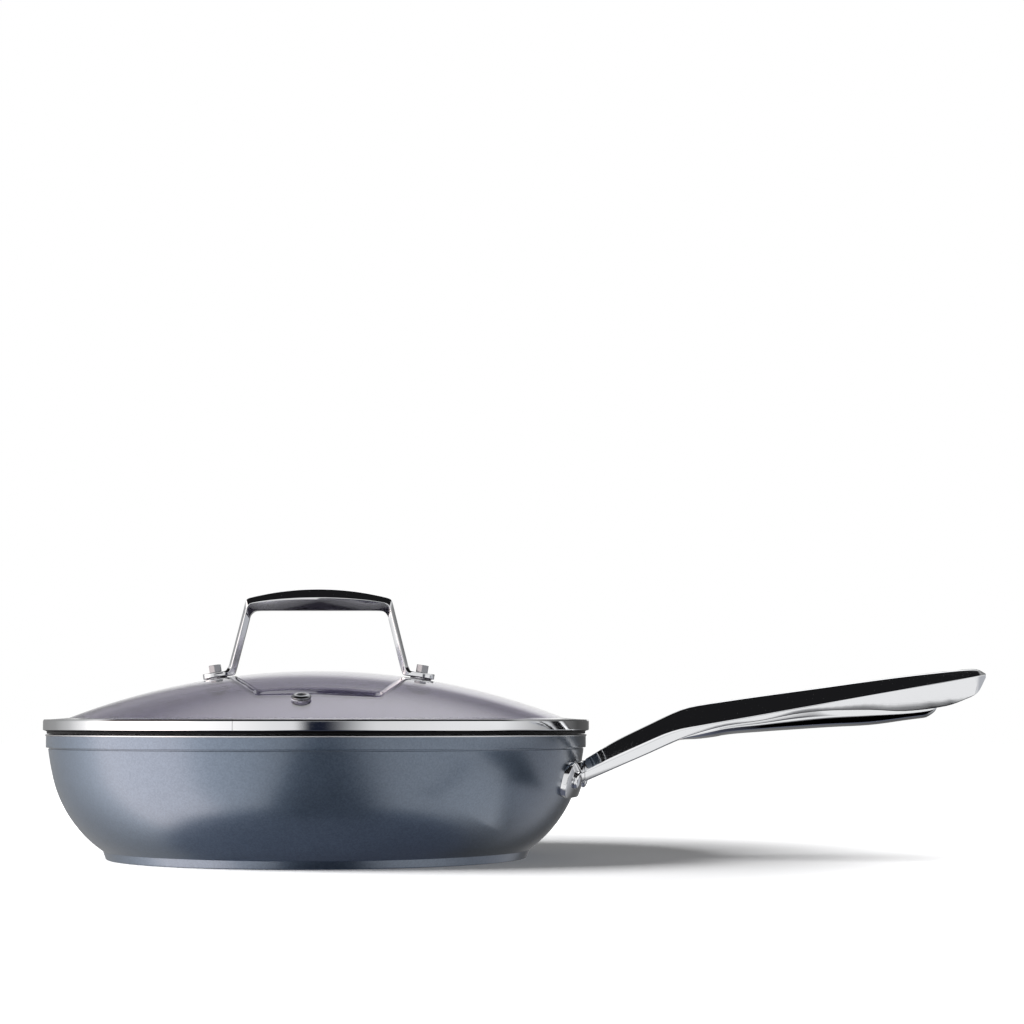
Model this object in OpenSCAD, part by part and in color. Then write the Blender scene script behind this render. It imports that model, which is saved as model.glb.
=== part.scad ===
// Saute pan with lid. The pan is pressed aluminium with a magnetic steel plate in its base and a
// hollow steel handle on a riveted flange. The lid is a glass dome in a rolled steel band, with a
// forged bow handle, its gaskets, washers, screws and nuts, and a steam vent.
// Millimetres, +Z up, +X along the long handle, origin at the centre of the base.

/* [Pan] */
// Diameter over the bare lip of the rim
pan_d = 286; // [240:1:345]
// Height of the rim above the table
pan_h = 65; // [54:1:80]
// Thickness of the side wall
wall_t = 3; // [2:0.5:4]
// Thickness of the floor above the base plate
floor_t = 4.5; // [3:0.5:6]
// Height of the thicker band under the rim
rim_band_h = 6.7; // [4:0.1:10]
// How far the bare lip stands out from the band
lip_out = 0.4; // [0.2:0.1:1]
// Height of the bare lip
lip_h = 0.8; // [0.5:0.1:1.5]
// How far the band stands out from the wall below it
band_out = 1.2; // [0.6:0.1:2]
// Height of the groove under the band
groove_h = 0.7; // [0.4:0.1:1.5]
// Depth of that groove in the wall
groove_depth = 0.4; // [0.2:0.1:0.8]
// Radius of the upper arc of the wall's outline
upper_arc_r = 142; // [120:1:200]
// Radius of the lower arc, where the wall turns into the base
lower_arc_r = 64.4; // [60:0.1:75]
// How far the wall leans from upright where the two arcs meet, in degrees
arc_lean = 13.5; // [12:0.5:16]
// Height of the lower arc's centre above the foot
lower_arc_rise = 53.1; // [48:0.1:56]
// Radius of the fillet between floor and wall
floor_fillet_r = 20; // [12:1:24]

/* [Base] */
// Height of the foot under the lower arc
foot_h = 4.4; // [3:0.1:6]
// How far the foot draws in on its way down
foot_taper = 1.6; // [0.5:0.1:3]
// Width of the aluminium ring round the base plate
foot_ring_w = 6; // [4:0.5:10]
// Thickness of the steel base plate
plate_t = 1.2; // [0.8:0.1:2]
// Clearance round the base plate
plate_gap = 0.1; // [0.05:0.05:0.3]
// Pitch of the pressed rings in the base plate
plate_ring_pitch = 16; // [12:1:24]
// Width of a pressed ring
plate_ring_w = 2; // [1:0.5:4]
// Depth of a pressed ring
plate_ring_depth = 0.4; // [0.2:0.1:0.6]

/* [Handle bracket] */
// Width of the flange round the wall
flange_w = 64; // [56:1:76]
// Height of the flange
flange_h = 18; // [15:0.5:24]
// Thickness of the flange
flange_t = 2.8; // [2:0.1:4]
// Corner radius of the flange
flange_corner_r = 6.5; // [3:0.5:7]
// Height of the flange's middle above the table
flange_z = 42.2; // [38:0.1:48]
// Distance between the two rivets
rivet_spacing = 33.6; // [30:0.1:40]
// Diameter of a rivet's shank
rivet_d = 5; // [4:0.5:6]
// Diameter of a rivet's outer head
rivet_head_d = 9.4; // [8:0.1:12]
// Height of a rivet's outer head
rivet_head_h = 2.4; // [1.5:0.1:3]
// Diameter of a rivet's inner head
rivet_inner_d = 11; // [8:0.5:14]
// Height of a rivet's inner head
rivet_inner_h = 1.6; // [1:0.1:2.5]
// Length of the neck between the flange and the hollow handle
neck_len = 1.4; // [1:0.1:3]
// How far the stub reaches into the hollow handle
stub_len = 9; // [6:1:16]

/* [Long handle] */
// Length along X, from the end at the flange to the tip
handle_len = 206.5; // [170:0.5:250]
// Height of the ridge line at the flange end
handle_root_z = 45.9; // [43:0.1:50]
// Rise of the arm next to the pan, in degrees
arm_angle = 24.3; // [18:0.1:28]
// Rise of the grip, in degrees
grip_angle = 10.2; // [4:0.1:14]
// Length over which the arm bends into the grip
bend_len = 16; // [8:1:30]
// Wall of the two hollow shells
shell_t = 1.6; // [1.2:0.1:2]
// Diameter of the eye in the nose
eye_d = 8; // [6:0.5:9]
// How far the eye's middle is from the tip
eye_from_tip = 15.5; // [14:0.5:18]

/* [Lid] */
// Outer radius of the glass dome
dome_r = 356; // [330:1:420]
// How far the glass's edge is inside the rim's band
glass_inset = 4.1; // [3.5:0.1:5]
// Thickness of the glass
glass_t = 4; // [3.5:0.5:5]
// Thickness of the band's steel sheet
sheet_t = 0.8; // [0.5:0.1:1]
// How far the band's bead stands out from the pan's lip
bead_out = 1.3; // [0.5:0.1:3]
// Radius of the bead
bead_r = 3; // [2.5:0.1:3.5]
// Height of the bead's middle above the rim
bead_rise = 4.85; // [4:0.05:5]
// How far the band's neck is inside the rim's band
neck_inset = 0.3; // [0:0.1:1]
// Width of the band's top leg, over the glass
top_leg_w = 10.4; // [6:0.1:14]
// How much the top leg rises towards the glass
top_leg_rise = 0.6; // [0:0.1:1.5]
// Width of the shelf under the glass
shelf_w = 6.5; // [4:0.5:10]
// Depth of the skirt inside the pan
skirt_h = 6.8; // [4:0.1:10]
// Play between the skirt and the pan's wall
skirt_gap = 0.8; // [0.5:0.1:2]
// How far the lid is turned from the long handle, in degrees
lid_turn = 8; // [0:1:90]

/* [Lid handle] */
// Distance between the two screws, measured level
screw_spacing = 109; // [90:1:130]
// Height of the grip's top above the dome's top
bow_h = 43.7; // [36:0.1:55]
// Thickness of the grip in the middle
grip_t = 11.3; // [8:0.1:14]
// Radius of the grip's upper arc
grip_arc_r = 150; // [120:1:260]
// Level distance from the middle to the grip's upper corner
corner_x = 39.2; // [34:0.1:44]
// Level thickness of a leg
leg_t = 4.4; // [3.5:0.1:6]
// Radius inside the grip's corners
inner_corner_r = 5; // [3:0.5:7]
// Thickness of a foot
foot_pad_t = 2.8; // [2:0.1:4]
// Width of a foot
foot_pad_w = 12; // [10:0.5:16]
// Length of a foot outside its screw
foot_pad_len = 7; // [6:0.5:10]
// Width of the grip over its side ridges
grip_w = 15; // [12:0.5:20]
// Width of a leg over its side ridges
leg_w = 11; // [9:0.5:14]

/* [Lid fasteners] */
// Diameter of a screw
screw_d = 4; // [3:0.5:5]
// Diameter of a screw's head
screw_head_d = 8; // [7:0.5:10]
// Height of a screw's head
screw_head_h = 1.8; // [1.2:0.1:3]
// Width of a nut across its flats
nut_af = 6.2; // [6:0.1:8]
// Height of a nut
nut_h = 4; // [3:0.1:5]
// Diameter of the hole in the glass for a screw
glass_hole_d = 7; // [6.5:0.5:9]
// Diameter of the gasket under a foot
foot_gasket_d = 11.4; // [10:0.1:14]
// Thickness of that gasket
foot_gasket_t = 0.7; // [0.5:0.1:1.5]
// Diameter of the gasket inside the lid
inner_gasket_d = 13.2; // [11:0.1:16]
// Thickness of that gasket
inner_gasket_t = 1.2; // [0.8:0.1:2]
// Diameter of the washer inside the lid
washer_d = 11.4; // [9:0.1:14]
// Thickness of the washer
washer_t = 0.8; // [0.6:0.1:1.5]

/* [Steam vent] */
// Level distance from the lid's middle to the vent
vent_r = 105; // [80:1:115]
// Diameter of the steam hole
vent_bore_d = 4.2; // [3:0.1:5]
// Outer diameter of the eyelet's tube
vent_tube_d = 6; // [5.5:0.1:7]
// Diameter of the eyelet's ring on top
vent_ring_d = 9.8; // [9:0.1:13]
// Height of that ring
vent_ring_h = 2; // [1.2:0.1:3]
// Thickness of the vent gasket's sleeve and flanges
vent_gasket_t = 0.6; // [0.4:0.1:1]

/* [Fits] */
// Gap between the lid's band and the rim that it rests on
seat_gap = 0.3; // [0.2:0.05:0.5]
// Gap between curved faces that lie on each other in one body
skin_gap = 0.05; // [0.02:0.01:0.1]
// Radial clearance of a screw in the foot and in the gaskets
screw_gap = 0.15; // [0.1:0.05:0.4]
// Gap round the stub inside the hollow handle
stub_gap = 0.15; // [0.1:0.05:0.3]
// How much the lower of two tangent arcs is enlarged, so that they cross cleanly
arc_lap = 0.01; // [0.005:0.005:0.02]

/* [Hidden] */
$fn = 128;

// Colours, as the photograph shows them
lacquer = "#5b6a78";
steel = "#c9ccd1";
dark_steel = "#8d9096";
tinted_glass = "#8f8d9b";
silicone = "#d8d6dc";

// Levels of the rim, from the top down
lip_z = pan_h - lip_h;
band_z = lip_z - rim_band_h + groove_h;
groove_z = band_z - groove_h;
band_r = pan_d / 2 - lip_out;
wall_top_r = band_r - band_out;

// The wall's outline: an upper arc that leans in on its way down, and a tangent lower arc
lower_arc_z = foot_h + lower_arc_rise;
arcs_meet_z = lower_arc_z - lower_arc_r * sin(arc_lean);
top_lean = asin(sin(arc_lean) - (groove_z - arcs_meet_z) / upper_arc_r);
upper_c = [wall_top_r - upper_arc_r * cos(top_lean), groove_z + upper_arc_r * sin(top_lean)];
lower_c = [
  upper_c[0] + (upper_arc_r - lower_arc_r) * cos(arc_lean),
  lower_arc_z
];
foot_top_r = lower_c[0] + sqrt(pow(lower_arc_r, 2) - pow(lower_arc_rise, 2));
foot_r = foot_top_r - foot_taper;
plate_r = foot_r - foot_ring_w - plate_gap;
floor_z = plate_t + floor_t;

// The fillet inside, tangent to the floor and to the inner side of the lower arc
fillet_z = floor_z + floor_fillet_r;
fillet_reach = lower_arc_r - wall_t - floor_fillet_r;
fillet_x = lower_c[0] + sqrt(pow(fillet_reach, 2) - pow(lower_c[1] - fillet_z, 2));
fillet_end_z = fillet_z - floor_fillet_r * (lower_c[1] - fillet_z) / fillet_reach;

// Radius of the outer wall and its lean at a height, on whichever arc holds that height
function arc_c(z) = z > arcs_meet_z ? upper_c : lower_c;
function arc_r(z) = z > arcs_meet_z ? upper_arc_r : lower_arc_r;
function wall_r(z) = arc_c(z)[0] + sqrt(pow(arc_r(z), 2) - pow(arc_c(z)[1] - z, 2));
function wall_lean(z) = asin((arc_c(z)[1] - z) / arc_r(z));

// The long handle's frame
handle_root_r = wall_r(handle_root_z) + (flange_t + neck_len) / cos(wall_lean(handle_root_z));
bend_share = 0.225;
belly_from = 0.235;
belly_to = 0.878;
cavity_to = 0.86;
crown = 0.5;
arm_slope = tan(arm_angle);
grip_slope = tan(grip_angle);

// Stations of the long handle: share of its length, then the heights of the top edge above the
// ridge and of the lower edge and the belly below it, then half widths at the top edge, the
// ridge and the lower edge
HANDLE = [
  [0.000, 6.7, 5.1, 5.1, 4.5, 7.0, 5.5],
  [0.080, 9.0, 5.3, 5.3, 5.2, 7.8, 6.2],
  [0.200, 9.9, 5.4, 5.4, 6.6, 10.0, 8.2],
  [0.270, 11.3, 3.8, 7.4, 7.2, 11.2, 9.6],
  [0.350, 11.0, 2.3, 6.8, 7.6, 12.0, 10.8],
  [0.445, 10.3, 2.9, 8.6, 7.9, 12.6, 11.3],
  [0.533, 9.5, 2.7, 10.6, 8.0, 13.0, 11.5],
  [0.610, 8.8, 3.9, 12.4, 8.0, 13.0, 11.3],
  [0.715, 7.9, 7.4, 15.1, 8.0, 12.9, 10.2],
  [0.800, 7.0, 11.2, 15.9, 7.7, 12.5, 9.2],
  [0.900, 5.6, 12.4, 16.6, 6.8, 11.4, 8.3],
  [0.950, 4.7, 10.6, 15.0, 5.7, 9.6, 6.8],
  [0.980, 3.5, 8.2, 12.0, 4.2, 7.2, 5.0],
  [1.000, 0.6, 1.6, 6.0, 1.8, 3.0, 1.8]
];
UP = 1;
LOW = 2;
BELLY = 3;
TOP_W = 4;
RIDGE_W = 5;
LOW_W = 6;

// Smooth reading of one column of the stations, by cubic pieces with matched slopes
function slope_at(k, col) =
  let(a = max(k - 1, 0), b = min(k + 1, len(HANDLE) - 1))
  (HANDLE[b][col] - HANDLE[a][col]) / (HANDLE[b][0] - HANDLE[a][0]);
function piece_of(u, k = 0) =
  k >= len(HANDLE) - 2 || u <= HANDLE[k + 1][0] ? k : piece_of(u, k + 1);
function cubic(t, y0, y1, m0, m1) =
  (2 * t * t * t - 3 * t * t + 1) * y0 + (t * t * t - 2 * t * t + t) * m0
  + (3 * t * t - 2 * t * t * t) * y1 + (t * t * t - t * t) * m1;
function read_at(u, col) =
  let(
    v = min(max(u, 0), 1),
    k = piece_of(v),
    span = HANDLE[k + 1][0] - HANDLE[k][0],
    t = (v - HANDLE[k][0]) / span
  )
  cubic(t, HANDLE[k][col], HANDLE[k + 1][col], slope_at(k, col) * span,
    slope_at(k + 1, col) * span);

// Height of the ridge line at a distance from the handle's root
function ridge_z(d) =
  let(
    bend = bend_share * handle_len,
    into = min(max(d - bend + bend_len / 2, 0), bend_len),
    past = max(d - bend - bend_len / 2, 0),
    turn = grip_slope - arm_slope
  )
  handle_root_z + arm_slope * d + turn * (into * into / (2 * bend_len) + past);

// One cross-section of the upper shell, clockwise seen from the tip, drawn in by an inset
function shell_ring(u, inset, stretch = 0) =
  let(
    d = u * handle_len,
    x = handle_root_r + d + stretch,
    z = ridge_z(d + stretch),
    top = z + read_at(u, UP) - inset,
    low = z - read_at(u, LOW) + inset,
    w_top = max(read_at(u, TOP_W) - inset * 0.7, 0.4),
    w_ridge = max(read_at(u, RIDGE_W) - inset * 1.15, 0.8),
    w_low = max(read_at(u, LOW_W) - inset, 0.4)
  )
  [
    [x, 0, top], [x, w_top, top - crown], [x, w_ridge, z], [x, w_low, low], [x, 0, low],
    [x, -w_low, low], [x, -w_ridge, z], [x, -w_top, top - crown]
  ];

// One cross-section of the belly, round below. It reaches a little into the upper shell, and the
// hollow, which has an inset, reaches further.
belly_sides = 10;
function belly_ring(u, inset) =
  let(
    d = u * handle_len,
    x = handle_root_r + d,
    low = ridge_z(d) - read_at(u, LOW),
    end = (u - belly_from) / (belly_to - belly_from),
    nose = min(1, sqrt(max(0, min(end * 7, (1 - end) * 24)))),
    depth = max((read_at(u, BELLY) - read_at(u, LOW)) * nose - inset, 0.3),
    w = max((read_at(u, LOW_W) - 0.5) * (0.55 + 0.45 * nose) - inset, 0.4),
    reach = 1 + inset
  )
  [
    for (k = [0:belly_sides])
      let(a = 180 * k / belly_sides, edge = k == 0 || k == belly_sides)
      [x, w * cos(a), low - (edge ? -reach : depth * pow(sin(a), 0.8))]
  ];

// Shares at which the rings stand: even steps, and finer ones near both ends of a range
function shares(from, to, steps) =
  [for (k = [0:steps]) from + (to - from) * (1 - cos(180 * k / steps)) / 2];

// A closed solid through rings of equal length, each clockwise seen from the last one
module skin(rings) {
  n = len(rings[0]);
  last = (len(rings) - 1) * n;
  points = [for (ring = rings) each ring];
  sides = [
    for (i = [0:len(rings) - 2]) for (j = [0:n - 1])
      let(a = i * n + j, b = i * n + (j + 1) % n)
      each [[a, b, b + n], [a, b + n, a + n]]
  ];
  caps = [[for (j = [n - 1:-1:0]) j], [for (j = [0:n - 1]) last + j]];
  polyhedron(points = points, faces = concat(sides, caps), convexity = 6);
}

// The eye's place in the nose
eye_x = handle_root_r + handle_len - eye_from_tip;
eye_z = ridge_z(handle_len - eye_from_tip);
eye_reach = 30;

// The lid's frame
seat_z = pan_h + seat_gap;
skirt_r = wall_r(groove_z) - wall_t - skirt_gap;
glass_r = band_r - glass_inset;
dome_z = seat_z + sheet_t - sqrt(pow(dome_r - glass_t, 2) - pow(glass_r, 2));
dome_top_z = dome_z + dome_r;
bead_c = [pan_d / 2 + bead_out - bead_r, pan_h + bead_rise];
neck_r = band_r - neck_inset;

// How far a curved face falls away from its tangent plane at a distance
function sag(r, curve_r) = r * r / (2 * curve_r);
inner_seat = glass_t + skin_gap + sag(inner_gasket_d / 2, dome_r - glass_t);
vent_seat = glass_t + skin_gap + sag(vent_ring_d / 2, dome_r - glass_t);
rivet_seat = wall_t + skin_gap + sag(rivet_inner_d / 2, lower_arc_r - wall_t);

// Lean of the dome's surface at a level distance from the middle
function dome_lean(r) = asin(r / dome_r);
screw_lean = dome_lean(screw_spacing / 2);
vent_lean = dome_lean(vent_r);

// A point of the lid handle's outline, at a distance along the foot and a height above the glass
screw_foot = [screw_spacing / 2, dome_z + sqrt(pow(dome_r, 2) - pow(screw_spacing / 2, 2))];
function foot_point(along, up) = [
  screw_foot[0] + along * cos(screw_lean) + up * sin(screw_lean),
  screw_foot[1] - along * sin(screw_lean) + up * cos(screw_lean)
];
// Levels of the washer's upper face and of the nut's lower face, from the top of the glass
washer_z = -inner_seat - inner_gasket_t - skin_gap;
nut_z = foot_gasket_t + foot_pad_t + skin_gap;

// The bow's outline
bow_top_z = dome_top_z + bow_h;
bow_under_z = bow_top_z - grip_t;
function grip_top(x) = bow_top_z - grip_arc_r + sqrt(pow(grip_arc_r, 2) - x * x);
pad_under = foot_gasket_t;
pad_top = foot_gasket_t + foot_pad_t;
leg_foot = foot_point(-6.6, pad_top);
leg_head = [corner_x, grip_top(corner_x) - 1.2];
function leg_out(t) = leg_foot + (leg_head - leg_foot) * t;
function leg_in(t) = leg_out(t) - [leg_t, 0];
leg_level_z = bow_under_z - inner_corner_r;
leg_level_t = (leg_level_z - leg_foot[1]) / (leg_head[1] - leg_foot[1]);
inner_c = [leg_in(leg_level_t)[0] - inner_corner_r, leg_level_z];
function inner_corner(a) = inner_c + inner_corner_r * [cos(a), sin(a)];

// Half of the bow from the foot's round end to the middle: outer point, inner point, then half
// widths at the outer face, the side ridge and the inner face
foot_end_r = foot_pad_w / 2;
function foot_end(a) = [
  foot_point(foot_pad_len - foot_end_r + foot_end_r * sin(a), pad_top),
  foot_point(foot_pad_len - foot_end_r + foot_end_r * sin(a), pad_under),
  foot_end_r * max(cos(a), 0.12), foot_end_r * max(cos(a), 0.12), foot_end_r * max(cos(a), 0.12)
];
function grip_station(x, share) = [
  [x, grip_top(x)], [min(x, inner_c[0]), bow_under_z],
  grip_w * 0.27, grip_w * (0.37 + 0.13 * share), grip_w * (0.28 + 0.02 * share)
];
BOW = concat(
  [for (a = [84, 60, 36, 12, 0]) foot_end(a)],
  [
    [foot_point(-5.0, pad_top), foot_point(-6.5, pad_under), leg_w / 2, leg_w / 2, leg_w / 2],
    [
      foot_point(-6.2, pad_top + 0.5), foot_point(-9.0, pad_under),
      leg_w * 0.42, leg_w / 2, leg_w * 0.44
    ],
    [leg_out(0.07), foot_point(-10.3, pad_under + 1.2), leg_w * 0.36, leg_w / 2, leg_w * 0.4],
    [leg_out(0.14), leg_in(0.12), leg_w * 0.34, leg_w / 2, leg_w * 0.36],
    [leg_out(0.55), leg_in(0.5), leg_w * 0.33, leg_w / 2, leg_w * 0.34],
    [leg_out(0.90), inner_corner(0), leg_w * 0.34, leg_w / 2, leg_w * 0.34],
    [leg_out(0.97), inner_corner(25), leg_w * 0.35, leg_w * 0.5, leg_w * 0.35],
    [
      [corner_x - 0.6, grip_top(corner_x) - 0.3], inner_corner(50),
      leg_w * 0.36, leg_w * 0.5, leg_w * 0.36
    ],
    [
      [corner_x - 2.6, grip_top(corner_x - 2.6)], inner_corner(72),
      leg_w * 0.36, leg_w * 0.5, leg_w * 0.37
    ]
  ],
  [for (k = [1:5]) grip_station(corner_x * (1 - k / 5) * 0.86, k / 5)]
);
RIDGE_DROP = 0.42;
function bow_ring(s, side) =
  let(
    o = s[0],
    i = s[1],
    r = o + (i - o) * RIDGE_DROP
  )
  [
    [side * o[0], s[2], o[1]], [side * r[0], s[3], r[1]], [side * i[0], s[4], i[1]],
    [side * i[0], -s[4], i[1]], [side * r[0], -s[3], r[1]], [side * o[0], -s[2], o[1]]
  ];

// The 2D area inside the wall's outline, moved in by an inset, up to a level. The area under the
// lower arc reaches into the one above it.
module bowl_area(inset, top_z) {
  meet_z = lower_c[1] - (lower_arc_r - inset) * sin(arc_lean);
  overlap = 5;
  intersection() {
    translate(upper_c) circle(r = upper_arc_r - inset);
    translate([0, meet_z]) square([pan_d, top_z - meet_z]);
  }
  intersection() {
    union() {
      translate(lower_c) circle(r = lower_arc_r - inset + arc_lap);
      square(lower_c);
    }
    square([pan_d, meet_z + overlap]);
  }
}

// The 2D area of the pan's inside
module cavity_area() {
  intersection() {
    bowl_area(wall_t, pan_h + 1);
    translate([0, fillet_end_z]) square([pan_d, pan_h]);
  }
  intersection() {
    union() {
      translate([fillet_x, fillet_z]) circle(r = floor_fillet_r + arc_lap);
      square([fillet_x, fillet_z]);
    }
    translate([0, floor_z]) square([pan_d, fillet_z - floor_z]);
  }
}

// Children stand on the outer wall at a height, with their Z axis square to the wall
module on_wall(angle, z) {
  rotate([0, 0, angle]) translate([wall_r(z), 0, z]) rotate([0, 90 + wall_lean(z), 0]) children();
}

// Angle of a rivet round the pan, on the near side or on the far side
rivet_angle = asin(rivet_spacing / 2 / wall_r(flange_z));
function rivet_side(near) = near ? -rivet_angle : rivet_angle;

module rivet_holes() {
  for (near = [true, false])
    on_wall(rivet_side(near), flange_z)
      translate([0, 0, -2 * wall_t]) cylinder(d = rivet_d + 2 * skin_gap, h = 4 * wall_t + 10);
}

// A low dome: a disc with a rounded top
module low_dome(r, h, side_h) {
  ball_r = (r * r + (h - side_h) * (h - side_h)) / (2 * (h - side_h));
  rotate_extrude() intersection() {
    translate([0, h - ball_r]) circle(r = ball_r);
    square([r, 2 * h]);
  }
}

module pan_body() {
  color(lacquer) difference() {
    rotate_extrude() difference() {
      union() {
        intersection() {
          bowl_area(0, groove_z);
          translate([0, foot_h / 2]) square([pan_d, pan_h]);
        }
        translate([0, groove_z - groove_h]) square([wall_top_r - groove_depth, 3 * groove_h]);
        translate([0, band_z]) square([band_r, lip_z - band_z + lip_h / 2]);
        translate([0, lip_z]) square([pan_d / 2, lip_h]);
        polygon([[0, 0], [foot_r, 0], [foot_top_r - arc_lap, foot_h], [0, foot_h]]);
      }
      cavity_area();
      translate([0, -1]) square([plate_r + plate_gap, plate_t + 1]);
    }
    rivet_holes();
  }
}

module induction_plate() {
  color(dark_steel) difference() {
    cylinder(r = plate_r, h = plate_t);
    for (r = [plate_ring_pitch:plate_ring_pitch:plate_r - plate_ring_w])
      translate([0, 0, -1]) difference() {
        cylinder(r = r + plate_ring_w / 2, h = 1 + plate_ring_depth);
        translate([0, 0, -1]) cylinder(r = r - plate_ring_w / 2, h = 3);
      }
  }
}

// The flange's outline seen along X, with round corners
module flange_outline() {
  w = flange_w - 2 * flange_corner_r;
  h = flange_h - 2 * flange_corner_r;
  square([flange_w, h], center = true);
  square([w, flange_h], center = true);
  for (x = [-1, 1]) for (y = [-1, 1])
    translate([x * w / 2, y * h / 2]) circle(r = flange_corner_r);
}

module handle_bracket() {
  neck_in = 0.5;
  neck_reach = 8;
  stub_in = shell_t + stub_gap;
  color(steel) difference() {
    union() {
      intersection() {
        rotate_extrude() difference() {
          bowl_area(-flange_t, groove_z);
          bowl_area(-skin_gap, groove_z);
        }
        translate([0, 0, flange_z]) rotate([90, 0, 90])
          linear_extrude(height = pan_d) flange_outline();
      }
      difference() {
        skin([
          shell_ring(0, neck_in, -neck_reach), shell_ring(0, neck_in, -skin_gap),
          shell_ring(0, stub_in, -skin_gap), shell_ring(stub_len / handle_len, stub_in)
        ]);
        rotate_extrude() bowl_area(-skin_gap, pan_h);
      }
    }
    rivet_holes();
  }
}

module upper_outside() {
  steps = 34;
  skin([for (u = shares(0, 1, steps)) shell_ring(u, 0)]);
}

module handle_upper_shell() {
  hollow_steps = 22;
  color(steel) difference() {
    upper_outside();
    skin(concat(
      [shell_ring(0, shell_t, -1)],
      [for (u = shares(0.002, cavity_to, hollow_steps)) shell_ring(u, shell_t)]
    ));
    translate([eye_x, 0, eye_z]) rotate([0, -grip_angle, 0])
      translate([0, 0, -eye_reach]) cylinder(d = eye_d, h = 2 * eye_reach);
  }
}

module handle_lower_shell() {
  steps = 30;
  hollow_steps = 20;
  end_wall = 1.5 * shell_t / handle_len;
  from = belly_from + end_wall;
  to = belly_to - end_wall;
  color(steel) difference() {
    skin([for (u = shares(belly_from, belly_to, steps)) belly_ring(u, 0)]);
    skin([for (u = shares(from, to, hollow_steps)) belly_ring(u, shell_t)]);
    translate([0, 0, -skin_gap]) upper_outside();
  }
}

module rivet(near) {
  color(steel) on_wall(rivet_side(near), flange_z) {
    translate([0, 0, flange_t + skin_gap]) low_dome(rivet_head_d / 2, rivet_head_h, rivet_head_h / 2);
    translate([0, 0, -rivet_seat]) cylinder(d = rivet_d, h = rivet_seat + flange_t + 2 * skin_gap);
    translate([0, 0, -rivet_seat]) mirror([0, 0, 1])
      low_dome(rivet_inner_d / 2, rivet_inner_h, rivet_inner_h / 3);
  }
}

module rivet_near() { rivet(true); }
module rivet_far() { rivet(false); }

// Children stand on the glass at a level distance from the middle, square to it
module on_dome(lean, angle) {
  rotate([0, 0, lid_turn + angle]) translate([0, 0, dome_z]) rotate([0, lean, 0])
    translate([0, 0, dome_r]) children();
}
module on_screw(side) { on_dome(screw_lean, side > 0 ? 0 : 180) children(); }
module on_vent() { on_dome(vent_lean, -90) children(); }

module lid_glass() {
  color(tinted_glass, 0.6) difference() {
    rotate_extrude() intersection() {
      translate([0, dome_z]) difference() {
        circle(r = dome_r);
        circle(r = dome_r - glass_t);
      }
      square([glass_r, dome_top_z + 1]);
    }
    for (side = [-1, 1])
      on_screw(side) translate([0, 0, -2 * glass_t]) cylinder(d = glass_hole_d, h = 3 * glass_t);
    on_vent() translate([0, 0, -2 * glass_t])
      cylinder(d = vent_tube_d + 2 * vent_gasket_t + 4 * skin_gap, h = 3 * glass_t);
  }
}

// The band's rolled section, without the space that the glass takes
module band_area() {
  leg_in_r = bead_c[0] - top_leg_w;
  leg_z = bead_c[1] + bead_r;
  difference() {
    union() {
      polygon([
        [leg_in_r, leg_z + top_leg_rise], [leg_in_r, leg_z + top_leg_rise - sheet_t],
        [bead_c[0], leg_z - sheet_t], [bead_c[0], leg_z]
      ]);
      intersection() {
        translate(bead_c) difference() {
          circle(r = bead_r);
          circle(r = bead_r - sheet_t);
        }
        translate([bead_c[0], seat_z]) square([2 * bead_r, 4 * bead_r]);
      }
      translate([skirt_r - sheet_t, seat_z]) square([neck_r - skirt_r + sheet_t, sheet_t]);
      translate([neck_r - sheet_t, seat_z]) square([sheet_t, bead_c[1] - bead_r + sheet_t - seat_z]);
      translate([skirt_r - sheet_t, seat_z - skirt_h]) square([sheet_t, skirt_h + sheet_t]);
      intersection() {
        translate([0, dome_z]) difference() {
          circle(r = dome_r - glass_t);
          circle(r = dome_r - glass_t - sheet_t);
        }
        translate([glass_r - shelf_w, seat_z - sheet_t]) square([shelf_w, 20]);
      }
    }
    intersection() {
      translate([0, dome_z]) difference() {
        circle(r = dome_r + skin_gap);
        circle(r = dome_r - glass_t - skin_gap);
      }
      square([glass_r + skin_gap, dome_top_z]);
    }
  }
}

module lid_rim_band() {
  color(steel) rotate_extrude() band_area();
}

module vent_gasket() {
  ring_lap = 0.2;
  sleeve_r = vent_tube_d / 2 + skin_gap;
  flange_r = vent_ring_d / 2 - ring_lap;
  color(silicone) on_vent() difference() {
    union() {
      translate([0, 0, skin_gap]) cylinder(r = flange_r, h = vent_gasket_t);
      translate([0, 0, -vent_seat - vent_gasket_t]) {
        cylinder(r = sleeve_r + vent_gasket_t, h = vent_seat + 2 * vent_gasket_t);
        cylinder(r = flange_r, h = vent_gasket_t);
      }
    }
    translate([0, 0, -2 * glass_t]) cylinder(r = sleeve_r, h = 4 * glass_t);
  }
}

module vent_eyelet() {
  lower_z = vent_seat + skin_gap + vent_gasket_t;
  flare_t = 0.8;
  flare_lap = 1;
  color(steel) on_vent() difference() {
    union() {
      translate([0, 0, vent_gasket_t + 2 * skin_gap])
        low_dome(vent_ring_d / 2, vent_ring_h, vent_ring_h / 2);
      translate([0, 0, -lower_z - flare_t]) {
        cylinder(d = vent_tube_d, h = lower_z + flare_t + vent_ring_h);
        cylinder(d = vent_ring_d - flare_lap, h = flare_t);
      }
    }
    translate([0, 0, -3 * glass_t]) cylinder(d = vent_bore_d, h = 6 * glass_t);
  }
}

module lid_handle() {
  half = len(BOW) - 1;
  rings = concat(
    [for (k = [0:half]) bow_ring(BOW[k], -1)],
    [for (k = [half - 1:-1:0]) bow_ring(BOW[k], 1)]
  );
  color(steel) difference() {
    rotate([0, 0, lid_turn]) skin(rings);
    for (side = [-1, 1])
      on_screw(side) cylinder(d = screw_d + 2 * screw_gap, h = foot_gasket_t + foot_pad_t + 2);
  }
}

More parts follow.
